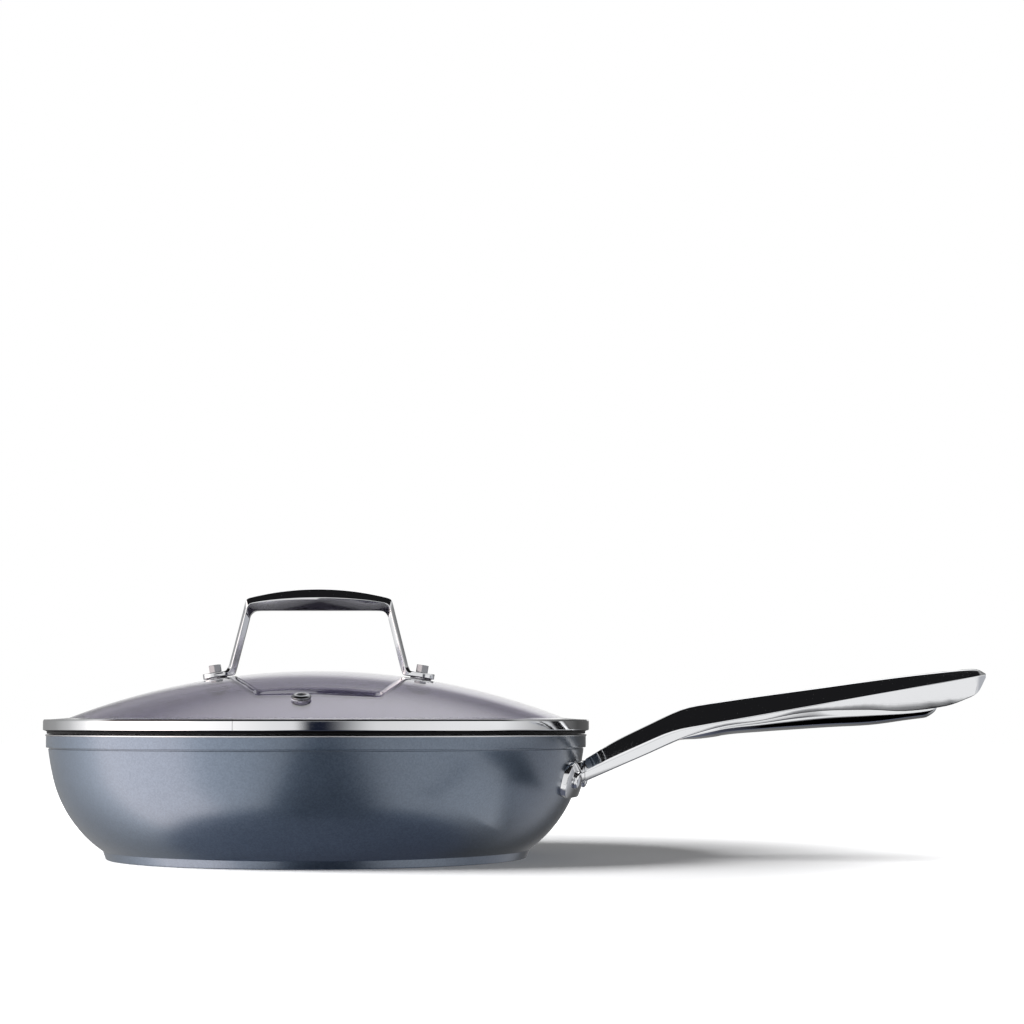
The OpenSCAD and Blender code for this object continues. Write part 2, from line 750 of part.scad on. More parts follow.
module foot_gasket(side) {
  color(silicone) on_screw(side) translate([0, 0, skin_gap]) difference() {
    cylinder(d = foot_gasket_d, h = foot_gasket_t - 2 * skin_gap);
    translate([0, 0, -1]) cylinder(d = screw_d + 2 * screw_gap, h = foot_gasket_t + 2);
  }
}

module inner_gasket(side) {
  sleeve_d = glass_hole_d - 2 * skin_gap;
  color(silicone) on_screw(side) difference() {
    union() {
      translate([0, 0, -inner_seat - inner_gasket_t])
        cylinder(d = inner_gasket_d, h = inner_gasket_t);
      translate([0, 0, -inner_seat - inner_gasket_t / 2])
        cylinder(d = sleeve_d, h = inner_seat + inner_gasket_t / 2);
    }
    translate([0, 0, -2 * glass_t]) cylinder(d = screw_d + 2 * screw_gap, h = 3 * glass_t);
  }
}

module inner_washer(side) {
  color(steel) on_screw(side) translate([0, 0, washer_z - washer_t]) difference() {
    cylinder(d = washer_d, h = washer_t);
    translate([0, 0, -1]) cylinder(d = screw_d + 2 * screw_gap, h = washer_t + 2);
  }
}

module lid_screw(side) {
  thread_share = 0.8;
  head_z = washer_z - washer_t - skin_gap;
  color(steel) on_screw(side) {
    translate([0, 0, head_z])
      cylinder(d = screw_d, h = nut_z + nut_h * thread_share - head_z);
    translate([0, 0, head_z]) mirror([0, 0, 1])
      low_dome(screw_head_d / 2, screw_head_h, screw_head_h / 3);
  }
}

module hex_nut(side) {
  bore_share = 0.9;
  chamfer = 0.4;
  top_r = nut_af / sqrt(3) - chamfer;
  color(steel) on_screw(side) translate([0, 0, nut_z]) difference() {
    intersection() {
      rotate([0, 0, 30]) cylinder(d = nut_af / cos(30), h = nut_h, $fn = 6);
      cylinder(r1 = top_r + chamfer + nut_h, r2 = top_r, h = nut_h);
    }
    translate([0, 0, -1]) cylinder(d = screw_d + 2 * skin_gap, h = 1 + nut_h * bore_share);
  }
}

module foot_gasket_left() { foot_gasket(-1); }
module foot_gasket_right() { foot_gasket(1); }
module inner_gasket_left() { inner_gasket(-1); }
module inner_gasket_right() { inner_gasket(1); }
module inner_washer_left() { inner_washer(-1); }
module inner_washer_right() { inner_washer(1); }
module lid_screw_left() { lid_screw(-1); }
module lid_screw_right() { lid_screw(1); }
module hex_nut_left() { hex_nut(-1); }
module hex_nut_right() { hex_nut(1); }

pan_body();
induction_plate();
handle_bracket();
handle_upper_shell();
handle_lower_shell();
rivet_near();
rivet_far();
lid_glass();
lid_rim_band();
vent_eyelet();
vent_gasket();
lid_handle();
foot_gasket_left();
foot_gasket_right();
inner_gasket_left();
inner_gasket_right();
inner_washer_left();
inner_washer_right();
lid_screw_left();
lid_screw_right();
hex_nut_left();
hex_nut_right();
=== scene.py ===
"""Looks of the saute pan with lid: its refined pieces, their finishes, the studio and the camera.

Sizes are in millimetres and repeat the part's source, and angles are in degrees. A finished mesh
is in metres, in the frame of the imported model: +Z up, +X along the long handle, origin at the
centre of the base.
"""

import logging
import math
from dataclasses import dataclass
from enum import Enum
from typing import Any, Callable, Iterable, Sequence

import bmesh
import bpy
from mathutils import Matrix, Vector

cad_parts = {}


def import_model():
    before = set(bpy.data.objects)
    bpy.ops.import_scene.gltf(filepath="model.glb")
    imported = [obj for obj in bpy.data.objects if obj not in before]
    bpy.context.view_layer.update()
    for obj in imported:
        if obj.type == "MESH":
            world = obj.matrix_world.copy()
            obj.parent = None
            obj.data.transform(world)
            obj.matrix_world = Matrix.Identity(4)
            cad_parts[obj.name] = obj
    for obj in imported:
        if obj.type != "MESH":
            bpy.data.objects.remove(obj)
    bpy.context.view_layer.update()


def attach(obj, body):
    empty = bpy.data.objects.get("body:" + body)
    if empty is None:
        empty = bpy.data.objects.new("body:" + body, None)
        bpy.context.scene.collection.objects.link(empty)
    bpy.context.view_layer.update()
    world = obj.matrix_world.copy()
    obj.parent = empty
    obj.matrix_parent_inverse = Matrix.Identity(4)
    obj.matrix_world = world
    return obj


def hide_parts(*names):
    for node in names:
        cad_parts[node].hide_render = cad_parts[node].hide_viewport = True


LOG = logging.getLogger("saute_pan")
MM = 0.001
# Steps of a full turn, by the size of what is turned
SMALL_STEPS, NUT_STEPS, PLATE_STEPS, BOWL_STEPS, BAND_STEPS = 64, 72, 192, 256, 288
# Points nearer than this are one point
WELD_GAP = 0.0005
# Inputs of a node that mixes two colours: the lower one and the one laid over it
UNDER, OVER = 6, 7

Point = tuple[float, float]
Corner = tuple[float, float, float]
Colour = tuple[float, float, float, float]
Socket = bpy.types.NodeSocket


class Slot(Enum):
    """The record's material slots."""

    LACQUER = "lacquered_aluminium"
    BASE_STEEL = "base_steel"
    STEEL = "polished_steel"
    GLASS = "tinted_glass"
    SILICONE = "silicone"


class Body(Enum):
    """The two bodies that the pieces ride on."""

    PAN = "pan"
    LID = "lid"


class Grain(Enum):
    """Which way the lines of a polishing or turning tool run."""

    ALONG = "along the handle"
    ROUND = "round the axis"
    NONE = "no direction"


# ---------------------------------------------------------------------------------------------
# Outlines


def arc(centre: Point, radius: float, start: float, end: float, parts: int) -> list[Point]:
    """Points along an arc.

    Args:
        centre: Middle of the arc.
        radius: Its radius.
        start: Angle of the first point, in degrees.
        end: Angle of the last point, in degrees.
        parts: How many steps lie between them.

    Returns:
        The points, in order.
    """
    angles = [math.radians(start + (end - start) * k / parts) for k in range(parts + 1)]
    return [(centre[0] + radius * math.cos(a), centre[1] + radius * math.sin(a)) for a in angles]


def rounded(corners: Sequence[Corner], closed: bool = False, parts: int = 4) -> list[Point]:
    """Rounds the corners of an outline.

    Args:
        corners: Place and radius of each corner. A radius of 0 keeps one plain point.
        closed: Whether the last corner joins the first.
        parts: How many steps a rounded corner has.

    Returns:
        The points of the outline, always as many for the same list of radii.
    """
    points: list[Point] = []
    last = len(corners) - 1
    for k, (across, up, radius) in enumerate(corners):
        corner = Vector((across, up))
        if radius <= 0 or (not closed and k in (0, last)):
            points.append((across, up))
            continue
        back = Vector(corners[k - 1][:2]) - corner
        ahead = Vector(corners[(k + 1) % len(corners)][:2]) - corner
        shorter = min(back.length, ahead.length)
        half = max(back.angle(ahead) / 2, 0.05)
        reach = min(max(radius / math.tan(half), 0.04 * shorter), 0.46 * shorter)
        first = corner + back.normalized() * reach
        second = corner + ahead.normalized() * reach
        for step in range(parts + 1):
            t = step / parts
            point = first * (1 - t) ** 2 + corner * (2 * t * (1 - t)) + second * t**2
            points.append((point.x, point.y))
    return points


class Stations:
    """Rows of sizes along a length, read by smooth cubic pieces with matched slopes."""

    def __init__(self, rows: Sequence[Sequence[float]]) -> None:
        """Keeps the rows, whose first number is the place along the length."""
        self.rows = [list(row) for row in rows]

    def slope(self, k: int, column: int) -> float:
        """Slope of a column at a row, from its neighbours."""
        before, after = self.rows[max(k - 1, 0)], self.rows[min(k + 1, len(self.rows) - 1)]
        return (after[column] - before[column]) / (after[0] - before[0])

    def read(self, place: float) -> list[float]:
        """Reads every column at a place.

        Args:
            place: Distance along the length, in the unit of the first column.

        Returns:
            The columns after the first one.
        """
        place = min(max(place, self.rows[0][0]), self.rows[-1][0])
        k = 0
        while k < len(self.rows) - 2 and place > self.rows[k + 1][0]:
            k += 1
        low, high = self.rows[k], self.rows[k + 1]
        span = high[0] - low[0]
        t = (place - low[0]) / span
        values = []
        for column in range(1, len(low)):
            rise, fall = self.slope(k, column) * span, self.slope(k + 1, column) * span
            values.append(
                (2 * t**3 - 3 * t**2 + 1) * low[column]
                + (t**3 - 2 * t**2 + t) * rise
                + (3 * t**2 - 2 * t**3) * high[column]
                + (t**3 - t**2) * fall
            )
        return values


# ---------------------------------------------------------------------------------------------
# Meshes


def link(name: str, data: bpy.types.ID) -> bpy.types.Object:
    """Makes an object of some data and puts it in the scene."""
    thing = bpy.data.objects.new(name, data)
    bpy.context.scene.collection.objects.link(thing)
    return thing


class Shape:
    """A mesh in the making, in millimetres."""

    def __init__(self) -> None:
        """Starts with nothing."""
        self.bm = bmesh.new()

    def turn(self, outline: Sequence[Point], finish: int = 0, steps: int = BOWL_STEPS) -> None:
        """Spins an outline a full turn about Z.

        Args:
            outline: Points (radius, height), in order.
            finish: Place of the faces' finish in the piece's list.
            steps: How many steps the turn has.
        """
        before = set(self.bm.faces)
        verts = [self.bm.verts.new((r, 0.0, z)) for r, z in outline]
        edges = [self.bm.edges.new(pair) for pair in zip(verts, verts[1:])]
        bmesh.ops.spin(
            self.bm,
            geom=verts + edges,
            cent=(0, 0, 0),
            axis=(0, 0, 1),
            dvec=(0, 0, 0),
            angle=math.tau,
            steps=steps,
            use_merge=True,
            use_normal_flip=False,
            use_duplicate=False,
        )
        for face in set(self.bm.faces) - before:
            face.material_index = finish

    def loft(self, rings: Sequence[Sequence[Sequence[float]]]) -> None:
        """Draws a closed ring along its stations and closes both ends.

        Args:
            rings: Rings with as many points each, in order along the piece.
        """
        count = len(rings[0])
        made = bmesh.ops.create_circle(self.bm, cap_ends=True, segments=count, radius=1.0)
        verts: list[bmesh.types.BMVert] = list(made["verts"])
        edges: list[bmesh.types.BMEdge] = []
        for number, ring in enumerate(rings):
            if number:
                grown = bmesh.ops.extrude_edge_only(self.bm, edges=edges)["geom"]
                fresh = {part for part in grown if isinstance(part, bmesh.types.BMVert)}
                verts = [
                    next(e.other_vert(v) for e in v.link_edges if e.other_vert(v) in fresh)
                    for v in verts
                ]
            for vert, point in zip(verts, ring):
                vert.co = point
            edges = [self.bm.edges.get((verts[k - 1], verts[k])) for k in range(count)]
        bmesh.ops.contextual_create(self.bm, geom=edges)

    def slab(self, width: float, height: float, corner_r: float, thickness: float) -> None:
        """Makes a flat plate with round corners, cut into a grid so that it can be curved.

        Args:
            width: Size along the first direction.
            height: Size along the second direction.
            corner_r: Radius of the four corners.
            thickness: Thickness, upwards from zero.
        """
        bmesh.ops.create_grid(self.bm, x_segments=1, y_segments=1, size=0.5)
        bmesh.ops.scale(self.bm, vec=(width, height, 1), verts=self.bm.verts)
        self.bevel(self.bm.verts, corner_r, 8, "VERTICES")
        across, along = Vector((1, 0, 0)), Vector((0, 1, 0))
        for direction, size, cuts in ((across, width, 32), (along, height, 10)):
            for k in range(1, cuts):
                bmesh.ops.bisect_plane(
                    self.bm,
                    geom=[*self.bm.verts, *self.bm.edges, *self.bm.faces],
                    dist=0.0001,
                    plane_co=direction * (size * (k / cuts - 0.5)),
                    plane_no=direction,
                )
        raised = bmesh.ops.extrude_face_region(self.bm, geom=list(self.bm.faces))["geom"]
        lifted = [part for part in raised if isinstance(part, bmesh.types.BMVert)]
        bmesh.ops.translate(self.bm, vec=(0, 0, thickness), verts=lifted)

    def bevel(self, geom: Iterable[Any], width: float, segments: int, affect: str) -> None:
        """Rounds edges or corners.

        Args:
            geom: The edges or the points that are rounded.
            width: Width of the rounding.
            segments: How many steps it has.
            affect: Which of the two are rounded, in the operator's words.
        """
        bmesh.ops.bevel(
            self.bm,
            geom=list(geom),
            offset=width,
            offset_type="OFFSET",
            segments=segments,
            profile=0.5,
            affect=affect,
            clamp_overlap=True,
            material=-1,
        )

    def weld(self) -> None:
        """Merges doubles and turns every face outwards."""
        bmesh.ops.remove_doubles(self.bm, verts=self.bm.verts, dist=WELD_GAP)
        bmesh.ops.recalc_face_normals(self.bm, faces=self.bm.faces)
        if self.bm.calc_volume(signed=True) < 0:
            bmesh.ops.reverse_faces(self.bm, faces=self.bm.faces)

    def place(self, matrix: Matrix) -> None:
        """Moves the whole mesh by a matrix, in millimetres."""
        bmesh.ops.transform(self.bm, matrix=matrix, space=Matrix.Identity(4), verts=self.bm.verts)

    def warp(self, rule: Callable[[Vector], Vector]) -> None:
        """Moves every point by a rule."""
        for vert in self.bm.verts:
            vert.co = rule(vert.co)

    def as_object(self, name: str) -> bpy.types.Object:
        """A linked object that holds the mesh as it is."""
        mesh = bpy.data.meshes.new(name)
        self.bm.to_mesh(mesh)
        return link(name, mesh)

    def cut(self, tool: "Shape") -> None:
        """Takes another shape's space away from this one.

        Args:
            tool: The closed shape to take away. It is used up.
        """
        work, knife = self.as_object("work"), tool.as_object("knife")
        difference = work.modifiers.new("cut", "BOOLEAN")
        difference.operation = "DIFFERENCE"
        difference.solver = "EXACT"
        difference.object = knife
        graph = bpy.context.evaluated_depsgraph_get()
        result = bpy.data.meshes.new_from_object(work.evaluated_get(graph))
        self.bm.clear()
        self.bm.from_mesh(result)
        bpy.data.meshes.remove(result)
        for thing in (work, knife):
            mesh = thing.data
            bpy.data.objects.remove(thing)
            bpy.data.meshes.remove(mesh)
        tool.bm.free()

    def shade(self, sharp_from: float) -> None:
        """Shades smoothly, apart from edges that turn by an angle or more.

        Args:
            sharp_from: That angle, in degrees.
        """
        limit = math.radians(sharp_from)
        for face in self.bm.faces:
            face.smooth = True
        for edge in self.bm.edges:
            edge.smooth = not edge.is_manifold or edge.calc_face_angle(0.0) < limit


def spun(
    outline: Sequence[Point], steps: int, sharp_from: float, place: Matrix | None = None
) -> Shape:
    """Spins the outline of a whole piece about Z.

    Args:
        outline: Points (radius, height), in order.
        steps: How many steps the turn has.
        sharp_from: Angle from which an edge stays sharp.
        place: Where the piece is moved to.

    Returns:
        The welded and shaded shape.
    """
    shape = Shape()
    shape.turn(outline, steps=steps)
    shape.weld()
    if place is not None:
        shape.place(place)
    shape.shade(sharp_from)
    return shape


def drill(diameter: float, reach: float, steps: int, place: Matrix) -> Shape:
    """Makes a round tool that drills along its Z axis.

    Args:
        diameter: Its diameter.
        reach: How far it reaches to either side of its place.
        steps: How many steps the turn has.
        place: Its place.

    Returns:
        The closed shape.
    """
    r = diameter / 2
    tool = Shape()
    tool.turn([(0, -reach), (r, -reach), (r, reach), (0, reach)], steps=steps)
    tool.weld()
    tool.place(place)
    return tool


def finish_piece(shape: Shape, name: str, node: str, body: Body, *finishes: "Finish") -> None:
    """Turns a shape into the piece that stands for a node of the frame.

    Args:
        shape: The mesh, in millimetres. It is used up.
        name: Name of the piece.
        node: Node that it replaces.
        body: Body that it rides on.
        finishes: Finishes of its faces, in the order of their index.
    """
    shape.place(Matrix.Scale(MM, 4))
    piece = shape.as_object(name)
    shape.bm.free()
    for finish in finishes:
        piece.data.materials.append(finish.material())
    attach(piece, body.value)
    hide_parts(node)
    faces = sum(len(polygon.vertices) - 2 for polygon in piece.data.polygons)
    LOG.info("%s stands for %s, %d triangles, rides on %s", name, node, faces, body.value)


# ---------------------------------------------------------------------------------------------
# Finishes


def linear(colour: str) -> Colour:
    """Turns an sRGB hex value into the linear colour that a shader takes."""
    parts = [int(colour[k : k + 2], 16) / 255 for k in (1, 3, 5)]
    r, g, b = [c / 12.92 if c <= 0.04045 else ((c + 0.055) / 1.055) ** 2.4 for c in parts]
    return (r, g, b, 1.0)


def grey(level: float) -> Colour:
    """A colourless light of a level."""
    return (level, level, level, 1.0)


def per_mm(size: float) -> float:
    """Texture scale, in metres, for a pattern that repeats over a size in millimetres."""
    return 1000.0 / size


def feed(
    tree: bpy.types.NodeTree, node: bpy.types.Node, inputs: dict[Any, Any] | Sequence[Any]
) -> None:
    """Sets or links a node's inputs.

    Args:
        tree: Tree that the node belongs to.
        node: The node.
        inputs: Values, sockets or other nodes, by the input's name or number or in its order. Of
            another node, the first output that is in use is linked.
    """
    pairs = inputs.items() if isinstance(inputs, dict) else enumerate(inputs)
    for key, value in pairs:
        if isinstance(value, bpy.types.Node):
            value = next(out for out in value.outputs if out.enabled)
        if isinstance(value, Socket):
            tree.links.new(value, node.inputs[key])
        else:
            node.inputs[key].default_value = value


def add_node(
    tree: bpy.types.NodeTree,
    kind: str,
    inputs: dict[Any, Any] | Sequence[Any] = (),
    **settings: Any,
) -> bpy.types.Node:
    """Adds a node, sets its properties, and sets or links its inputs.

    Args:
        tree: Tree that it joins.
        kind: Type of the node, without the words that all types start with.
        inputs: What its inputs are set to or fed by.
        settings: Its properties.

    Returns:
        The node.
    """
    node = tree.nodes.new("ShaderNode" + kind)
    for key, value in settings.items():
        setattr(node, key, value)
    feed(tree, node, inputs)
    return node


def tool_lines(
    tree: bpy.types.NodeTree, place: Any, grain: Grain, pitch: float
) -> bpy.types.Node:
    """Draws the fine lines that a polishing wheel or a turning tool leaves.

    Args:
        tree: Tree that the nodes join.
        place: Coordinates of the piece.
        grain: Which way the lines run.
        pitch: Distance between two lines, in millimetres.

    Returns:
        The node that gives them, from 0 to 1.
    """
    if grain is Grain.ROUND:
        x, y, z = add_node(tree, "SeparateXYZ", (place,)).outputs
        flat = add_node(tree, "CombineXYZ", (x, y))
        radius = add_node(tree, "VectorMath", (flat,), operation="LENGTH")
        place = add_node(tree, "CombineXYZ", {"X": radius, "Z": z})
    stretch = (0.03, 1.0, 1.0) if grain is Grain.ALONG else (1.0, 1.0, 1.0)
    place = add_node(tree, "Mapping", {"Vector": place, "Scale": stretch})
    return add_node(tree, "TexNoise", {"Vector": place, "Scale": per_mm(pitch), "Detail": 3.0})


@dataclass(frozen=True)
class Finish:
    """What every finish has: a name, the record's slot and a shader."""

    name: str
    slot: Slot

    def material(self) -> bpy.types.Material:
        """The Blender material, built when it is first asked for.

        Returns:
            The material.
        """
        found = bpy.data.materials.get(self.name)
        if found is None:
            found = bpy.data.materials.new(self.name)
            found.use_nodes = True
            tree = found.node_tree
            place = add_node(tree, "TexCoord").outputs["Object"]
            feed(tree, tree.nodes["Principled BSDF"], self.inputs(tree, place))
        return found

    def inputs(self, tree: bpy.types.NodeTree, place: Socket) -> dict[str, Any]:
        """Gives what the shader's inputs are set to or fed by."""
        raise NotImplementedError


@dataclass(frozen=True)
class PolishedSteel(Finish):
    """Stainless steel, forged or pressed and then mirror polished.

    It gives a cold, nearly colourless mirror with crisp black and white reflections. The wheel
    leaves hairlines that only show as a slight unevenness of the gloss, and hands leave a haze.
    Hairlines are some 0.02 mm apart on the real metal; drawn at 0.5 mm, so that they show.
    """

    name: str = "polished stainless steel"
    slot: Slot = Slot.STEEL
    colour: str = "#E9EAEC"
    grain: Grain = Grain.NONE
    gloss: Point = (0.035, 0.11)
    pitch: float = 0.5
    haze_size: float = 28.0

    def inputs(self, tree: bpy.types.NodeTree, place: Socket) -> dict[str, Any]:
        """Mirror steel whose gloss varies with hairlines and a haze.

        Args:
            tree: Tree of the material.
            place: Coordinates of the piece.

        Returns:
            What the shader's inputs are set to or fed by.
        """
        lines = tool_lines(tree, place, self.grain, self.pitch)
        cloud = {"Vector": place, "Scale": per_mm(self.haze_size), "Detail": 4.0, "Roughness": 0.6}
        haze = add_node(tree, "TexNoise", cloud)
        uneven = add_node(tree, "Math", (lines, haze), operation="MULTIPLY")
        bump = {"Strength": 0.06, "Distance": 0.04 * MM, "Height": lines}
        return {
            "Base Color": linear(self.colour),
            "Metallic": 1.0,
            "Roughness": add_node(tree, "MapRange", (uneven, 0.12, 0.42, *self.gloss)),
            "Normal": add_node(tree, "Bump", bump),
        }


# The long handle and the bow, polished lengthwise, which draws their hairlines along them
LONG_STEEL = PolishedSteel(name="long-polished stainless steel", grain=Grain.ALONG)

# Cold-headed stainless steel, tumbled and left satin, which gives the screws and nuts a grey
# that is duller and darker than the polished pieces
FASTENER_STEEL = PolishedSteel(
    name="tumbled fastener steel", colour="#8C8D91", gloss=(0.16, 0.28)
)

# Polished steel painted near black: painted shade for the shadowed gap under the lid's band,
# which gives the joint between the band and the rim its black line
PAINTED_SHADE_STEEL = PolishedSteel(name="steel painted dark as shade in the band's joint", colour="#1C1C1E", gloss=(0.35, 0.5))


@dataclass(frozen=True)
class SeamedSteel(PolishedSteel):
    """Polished steel strip, rolled into the lid's band and butt welded.

    It gives the same mirror as the other steel, with one faint upright line where the weld was
    ground flush.
    """

    name: str = "rolled and welded steel strip"
    grain: Grain = Grain.ROUND
    seam_colour: str = "#B9B9BC"
    seam_angle: float = -93.8
    seam_w: float = 0.45

    def inputs(self, tree: bpy.types.NodeTree, place: Socket) -> dict[str, Any]:
        """Adds the ground weld to the polished steel.

        Args:
            tree: Tree of the material.
            place: Coordinates of the piece.

        Returns:
            What the shader's inputs are set to or fed by.
        """
        back = (0, 0, -math.radians(self.seam_angle))
        turned = add_node(tree, "Mapping", {"Vector": place, "Rotation": back})
        ahead, aside, _ = add_node(tree, "SeparateXYZ", (turned,)).outputs
        away = add_node(tree, "Math", (aside,), operation="ABSOLUTE")
        fade = (away, 0, self.seam_w * MM, 1, 0)
        near = add_node(tree, "MapRange", fade, interpolation_type="SMOOTHSTEP")
        this_side = add_node(tree, "Math", (ahead, 0), operation="GREATER_THAN")
        seam = add_node(tree, "Math", (near, this_side), operation="MULTIPLY")
        colours = {"Factor": seam, UNDER: linear(self.colour), OVER: linear(self.seam_colour)}
        colour = add_node(tree, "Mix", colours, data_type="RGBA")
        return super().inputs(tree, place) | {"Base Color": colour}


@dataclass(frozen=True)
class TurnedSteel(Finish):
    """Magnetic stainless steel disc, pressed into the base and faced on a lathe.

    It gives a satin grey with fine rings that catch the light as two bright fans. The tool's
    rings are 0.15 mm apart on the real disc; drawn at 0.8 mm, so that they show.
    """

    name: str = "turned magnetic steel"
    slot: Slot = Slot.BASE_STEEL
    colour: str = "#BDBEC1"
    ring_colour: str = "#9C9DA1"
    gloss: Point = (0.2, 0.42)
    pitch: float = 0.8

    def inputs(self, tree: bpy.types.NodeTree, place: Socket) -> dict[str, Any]:
        """Satin steel with rings.

        Args:
            tree: Tree of the material.
            place: Coordinates of the piece.

        Returns:
            What the shader's inputs are set to or fed by.
        """
        lines = tool_lines(tree, place, Grain.ROUND, self.pitch)
        colours = {"Factor": lines, UNDER: linear(self.ring_colour), OVER: linear(self.colour)}
        bump = {"Strength": 0.35, "Distance": 0.1 * MM, "Height": lines}
        return {
            "Metallic": 1.0,
            "Base Color": add_node(tree, "Mix", colours, data_type="RGBA"),
            "Roughness": add_node(tree, "MapRange", (lines, 0, 1, *self.gloss)),
            "Normal": add_node(tree, "Bump", bump),
        }


@dataclass(frozen=True)
class BareAluminium(Finish):
    """Aluminium, machined bare after the coatings were baked.

    It gives a bright satin line at the lip and on the ring round the base plate.
    The cutter's lines are 0.1 mm apart on the real lip; drawn at 0.3 mm, so that they show.
    """

    name: str = "machined bare aluminium"
    slot: Slot = Slot.LACQUER
    colour: str = "#D3D4D6"
    gloss: Point = (0.2, 0.36)
    pitch: float = 0.3

    def inputs(self, tree: bpy.types.NodeTree, place: Socket) -> dict[str, Any]:
        """Satin aluminium with turning lines.

        Args:
            tree: Tree of the material.
            place: Coordinates of the piece.

        Returns:
            What the shader's inputs are set to or fed by.
        """
        lines = tool_lines(tree, place, Grain.ROUND, self.pitch)
        return {
            "Base Color": linear(self.colour),
            "Metallic": 1.0,
            "Roughness": add_node(tree, "MapRange", (lines, 0, 1, *self.gloss)),
        }


@dataclass(frozen=True)
class MetallicLacquer(Finish):
    """Heat-proof lacquer with metal flake, sprayed on the aluminium and baked.

    It gives a slate blue that swings from pale grey in the light to dark navy where it mirrors
    the dark, under a satin clear coat. Fine flake makes it sparkle a little, and spraying leaves
    a faint unevenness and orange peel, a ripple of about 3 mm. Flake is 0.03 mm across in the
    real lacquer; drawn larger, so that it shows.
    """

    name: str = "slate-blue metallic lacquer"
    slot: Slot = Slot.LACQUER
    colour: str = "#536275"
    flake_colour: str = "#5E6D80"
    flake_size: float = 0.7
    metallic: float = 0.7
    gloss: Point = (0.26, 0.34)
    mist_size: float = 14.0
    peel_size: float = 3.0
    coat_gloss: float = 0.19
    coat_ior: float = 1.7

    def inputs(self, tree: bpy.types.NodeTree, place: Socket) -> dict[str, Any]:
        """Flaked metallic base under a clear coat.

        Args:
            tree: Tree of the material.
            place: Coordinates of the piece.

        Returns:
            What the shader's inputs are set to or fed by.
        """
        cells = {"Vector": place, "Scale": per_mm(self.flake_size)}
        flake = add_node(tree, "TexVoronoi", cells).outputs["Color"]
        sparkle = add_node(tree, "SeparateColor", (flake,))
        colours = {"Factor": sparkle, UNDER: linear(self.colour), OVER: linear(self.flake_colour)}
        cloud = {"Vector": place, "Scale": per_mm(self.mist_size), "Detail": 2.0}
        mist = add_node(tree, "TexNoise", cloud)
        ripple = {"Vector": place, "Scale": per_mm(self.peel_size), "Detail": 1.0}
        peel = add_node(tree, "TexNoise", ripple)
        bump = {"Strength": 0.05, "Distance": 0.1 * MM, "Height": peel}
        return {
            "Metallic": self.metallic,
            "Coat Weight": 1.0,
            "Coat Roughness": self.coat_gloss,
            "Coat IOR": self.coat_ior,
            "Base Color": add_node(tree, "Mix", colours, data_type="RGBA"),
            "Roughness": add_node(tree, "MapRange", (mist, 0, 1, *self.gloss)),
            "Normal": add_node(tree, "Bump", bump),
        }


@dataclass(frozen=True)
class NonStickCoating(Finish):
    """Mineral-filled non-stick coating, sprayed on in layers and baked.

    It gives a soft charcoal sheen with pores and tiny pale specks, 0.4 mm across as in the real
    coating.
    """

    name: str = "charcoal non-stick coating"
    slot: Slot = Slot.LACQUER
    colour: str = "#35363A"
    speck_colour: str = "#77797D"
    speck_pitch: float = 2.6
    speck_edge: Point = (0.06, 0.16)
    speck_share: float = 0.6
    gloss: Point = (0.36, 0.5)
    pore_size: float = 0.8

    def inputs(self, tree: bpy.types.NodeTree, place: Socket) -> dict[str, Any]:
        """Dark satin coating with specks.

        Args:
            tree: Tree of the material.
            place: Coordinates of the piece.

        Returns:
            What the shader's inputs are set to or fed by.
        """
        cells = {"Vector": place, "Scale": per_mm(self.speck_pitch)}
        distance = add_node(tree, "TexVoronoi", cells).outputs["Distance"]
        fade = (distance, *self.speck_edge, self.speck_share, 0)
        speck = add_node(tree, "MapRange", fade, interpolation_type="SMOOTHSTEP")
        colours = {"Factor": speck, UNDER: linear(self.colour), OVER: linear(self.speck_colour)}
        cloud = {"Vector": place, "Scale": per_mm(self.pore_size), "Detail": 2.0}
        pores = add_node(tree, "TexNoise", cloud)
        bump = {"Strength": 0.12, "Distance": 0.1 * MM, "Height": pores}
        return {
            "Base Color": add_node(tree, "Mix", colours, data_type="RGBA"),
            "Roughness": add_node(tree, "MapRange", (pores, 0, 1, *self.gloss)),
            "Normal": add_node(tree, "Bump", bump),
        }


@dataclass(frozen=True)
class TintedGlass(Finish):
    """Soda-lime glass, tinted grey, sagged over a mould and tempered.

    It gives a clear, slightly lilac grey, with a faint waviness from the tempering oven.
    """

    name: str = "grey tempered glass"
    slot: Slot = Slot.GLASS
    colour: str = "#A29DB1"
    wave_size: float = 35.0

    def inputs(self, tree: bpy.types.NodeTree, place: Socket) -> dict[str, Any]:
        """Clear tinted glass with a faint waviness.

        Args:
            tree: Tree of the material.
            place: Coordinates of the piece.

        Returns:
            What the shader's inputs are set to or fed by.
        """
        swell = {"Vector": place, "Scale": per_mm(self.wave_size), "Detail": 0.0}
        waves = add_node(tree, "TexNoise", swell)
        bump = {"Strength": 0.05, "Distance": 0.2 * MM, "Height": waves}
        return {
            "Base Color": linear(self.colour),
            "Transmission Weight": 1.0,
            "IOR": 1.5,
            "Roughness": 0.0,
            "Normal": add_node(tree, "Bump", bump),
        }


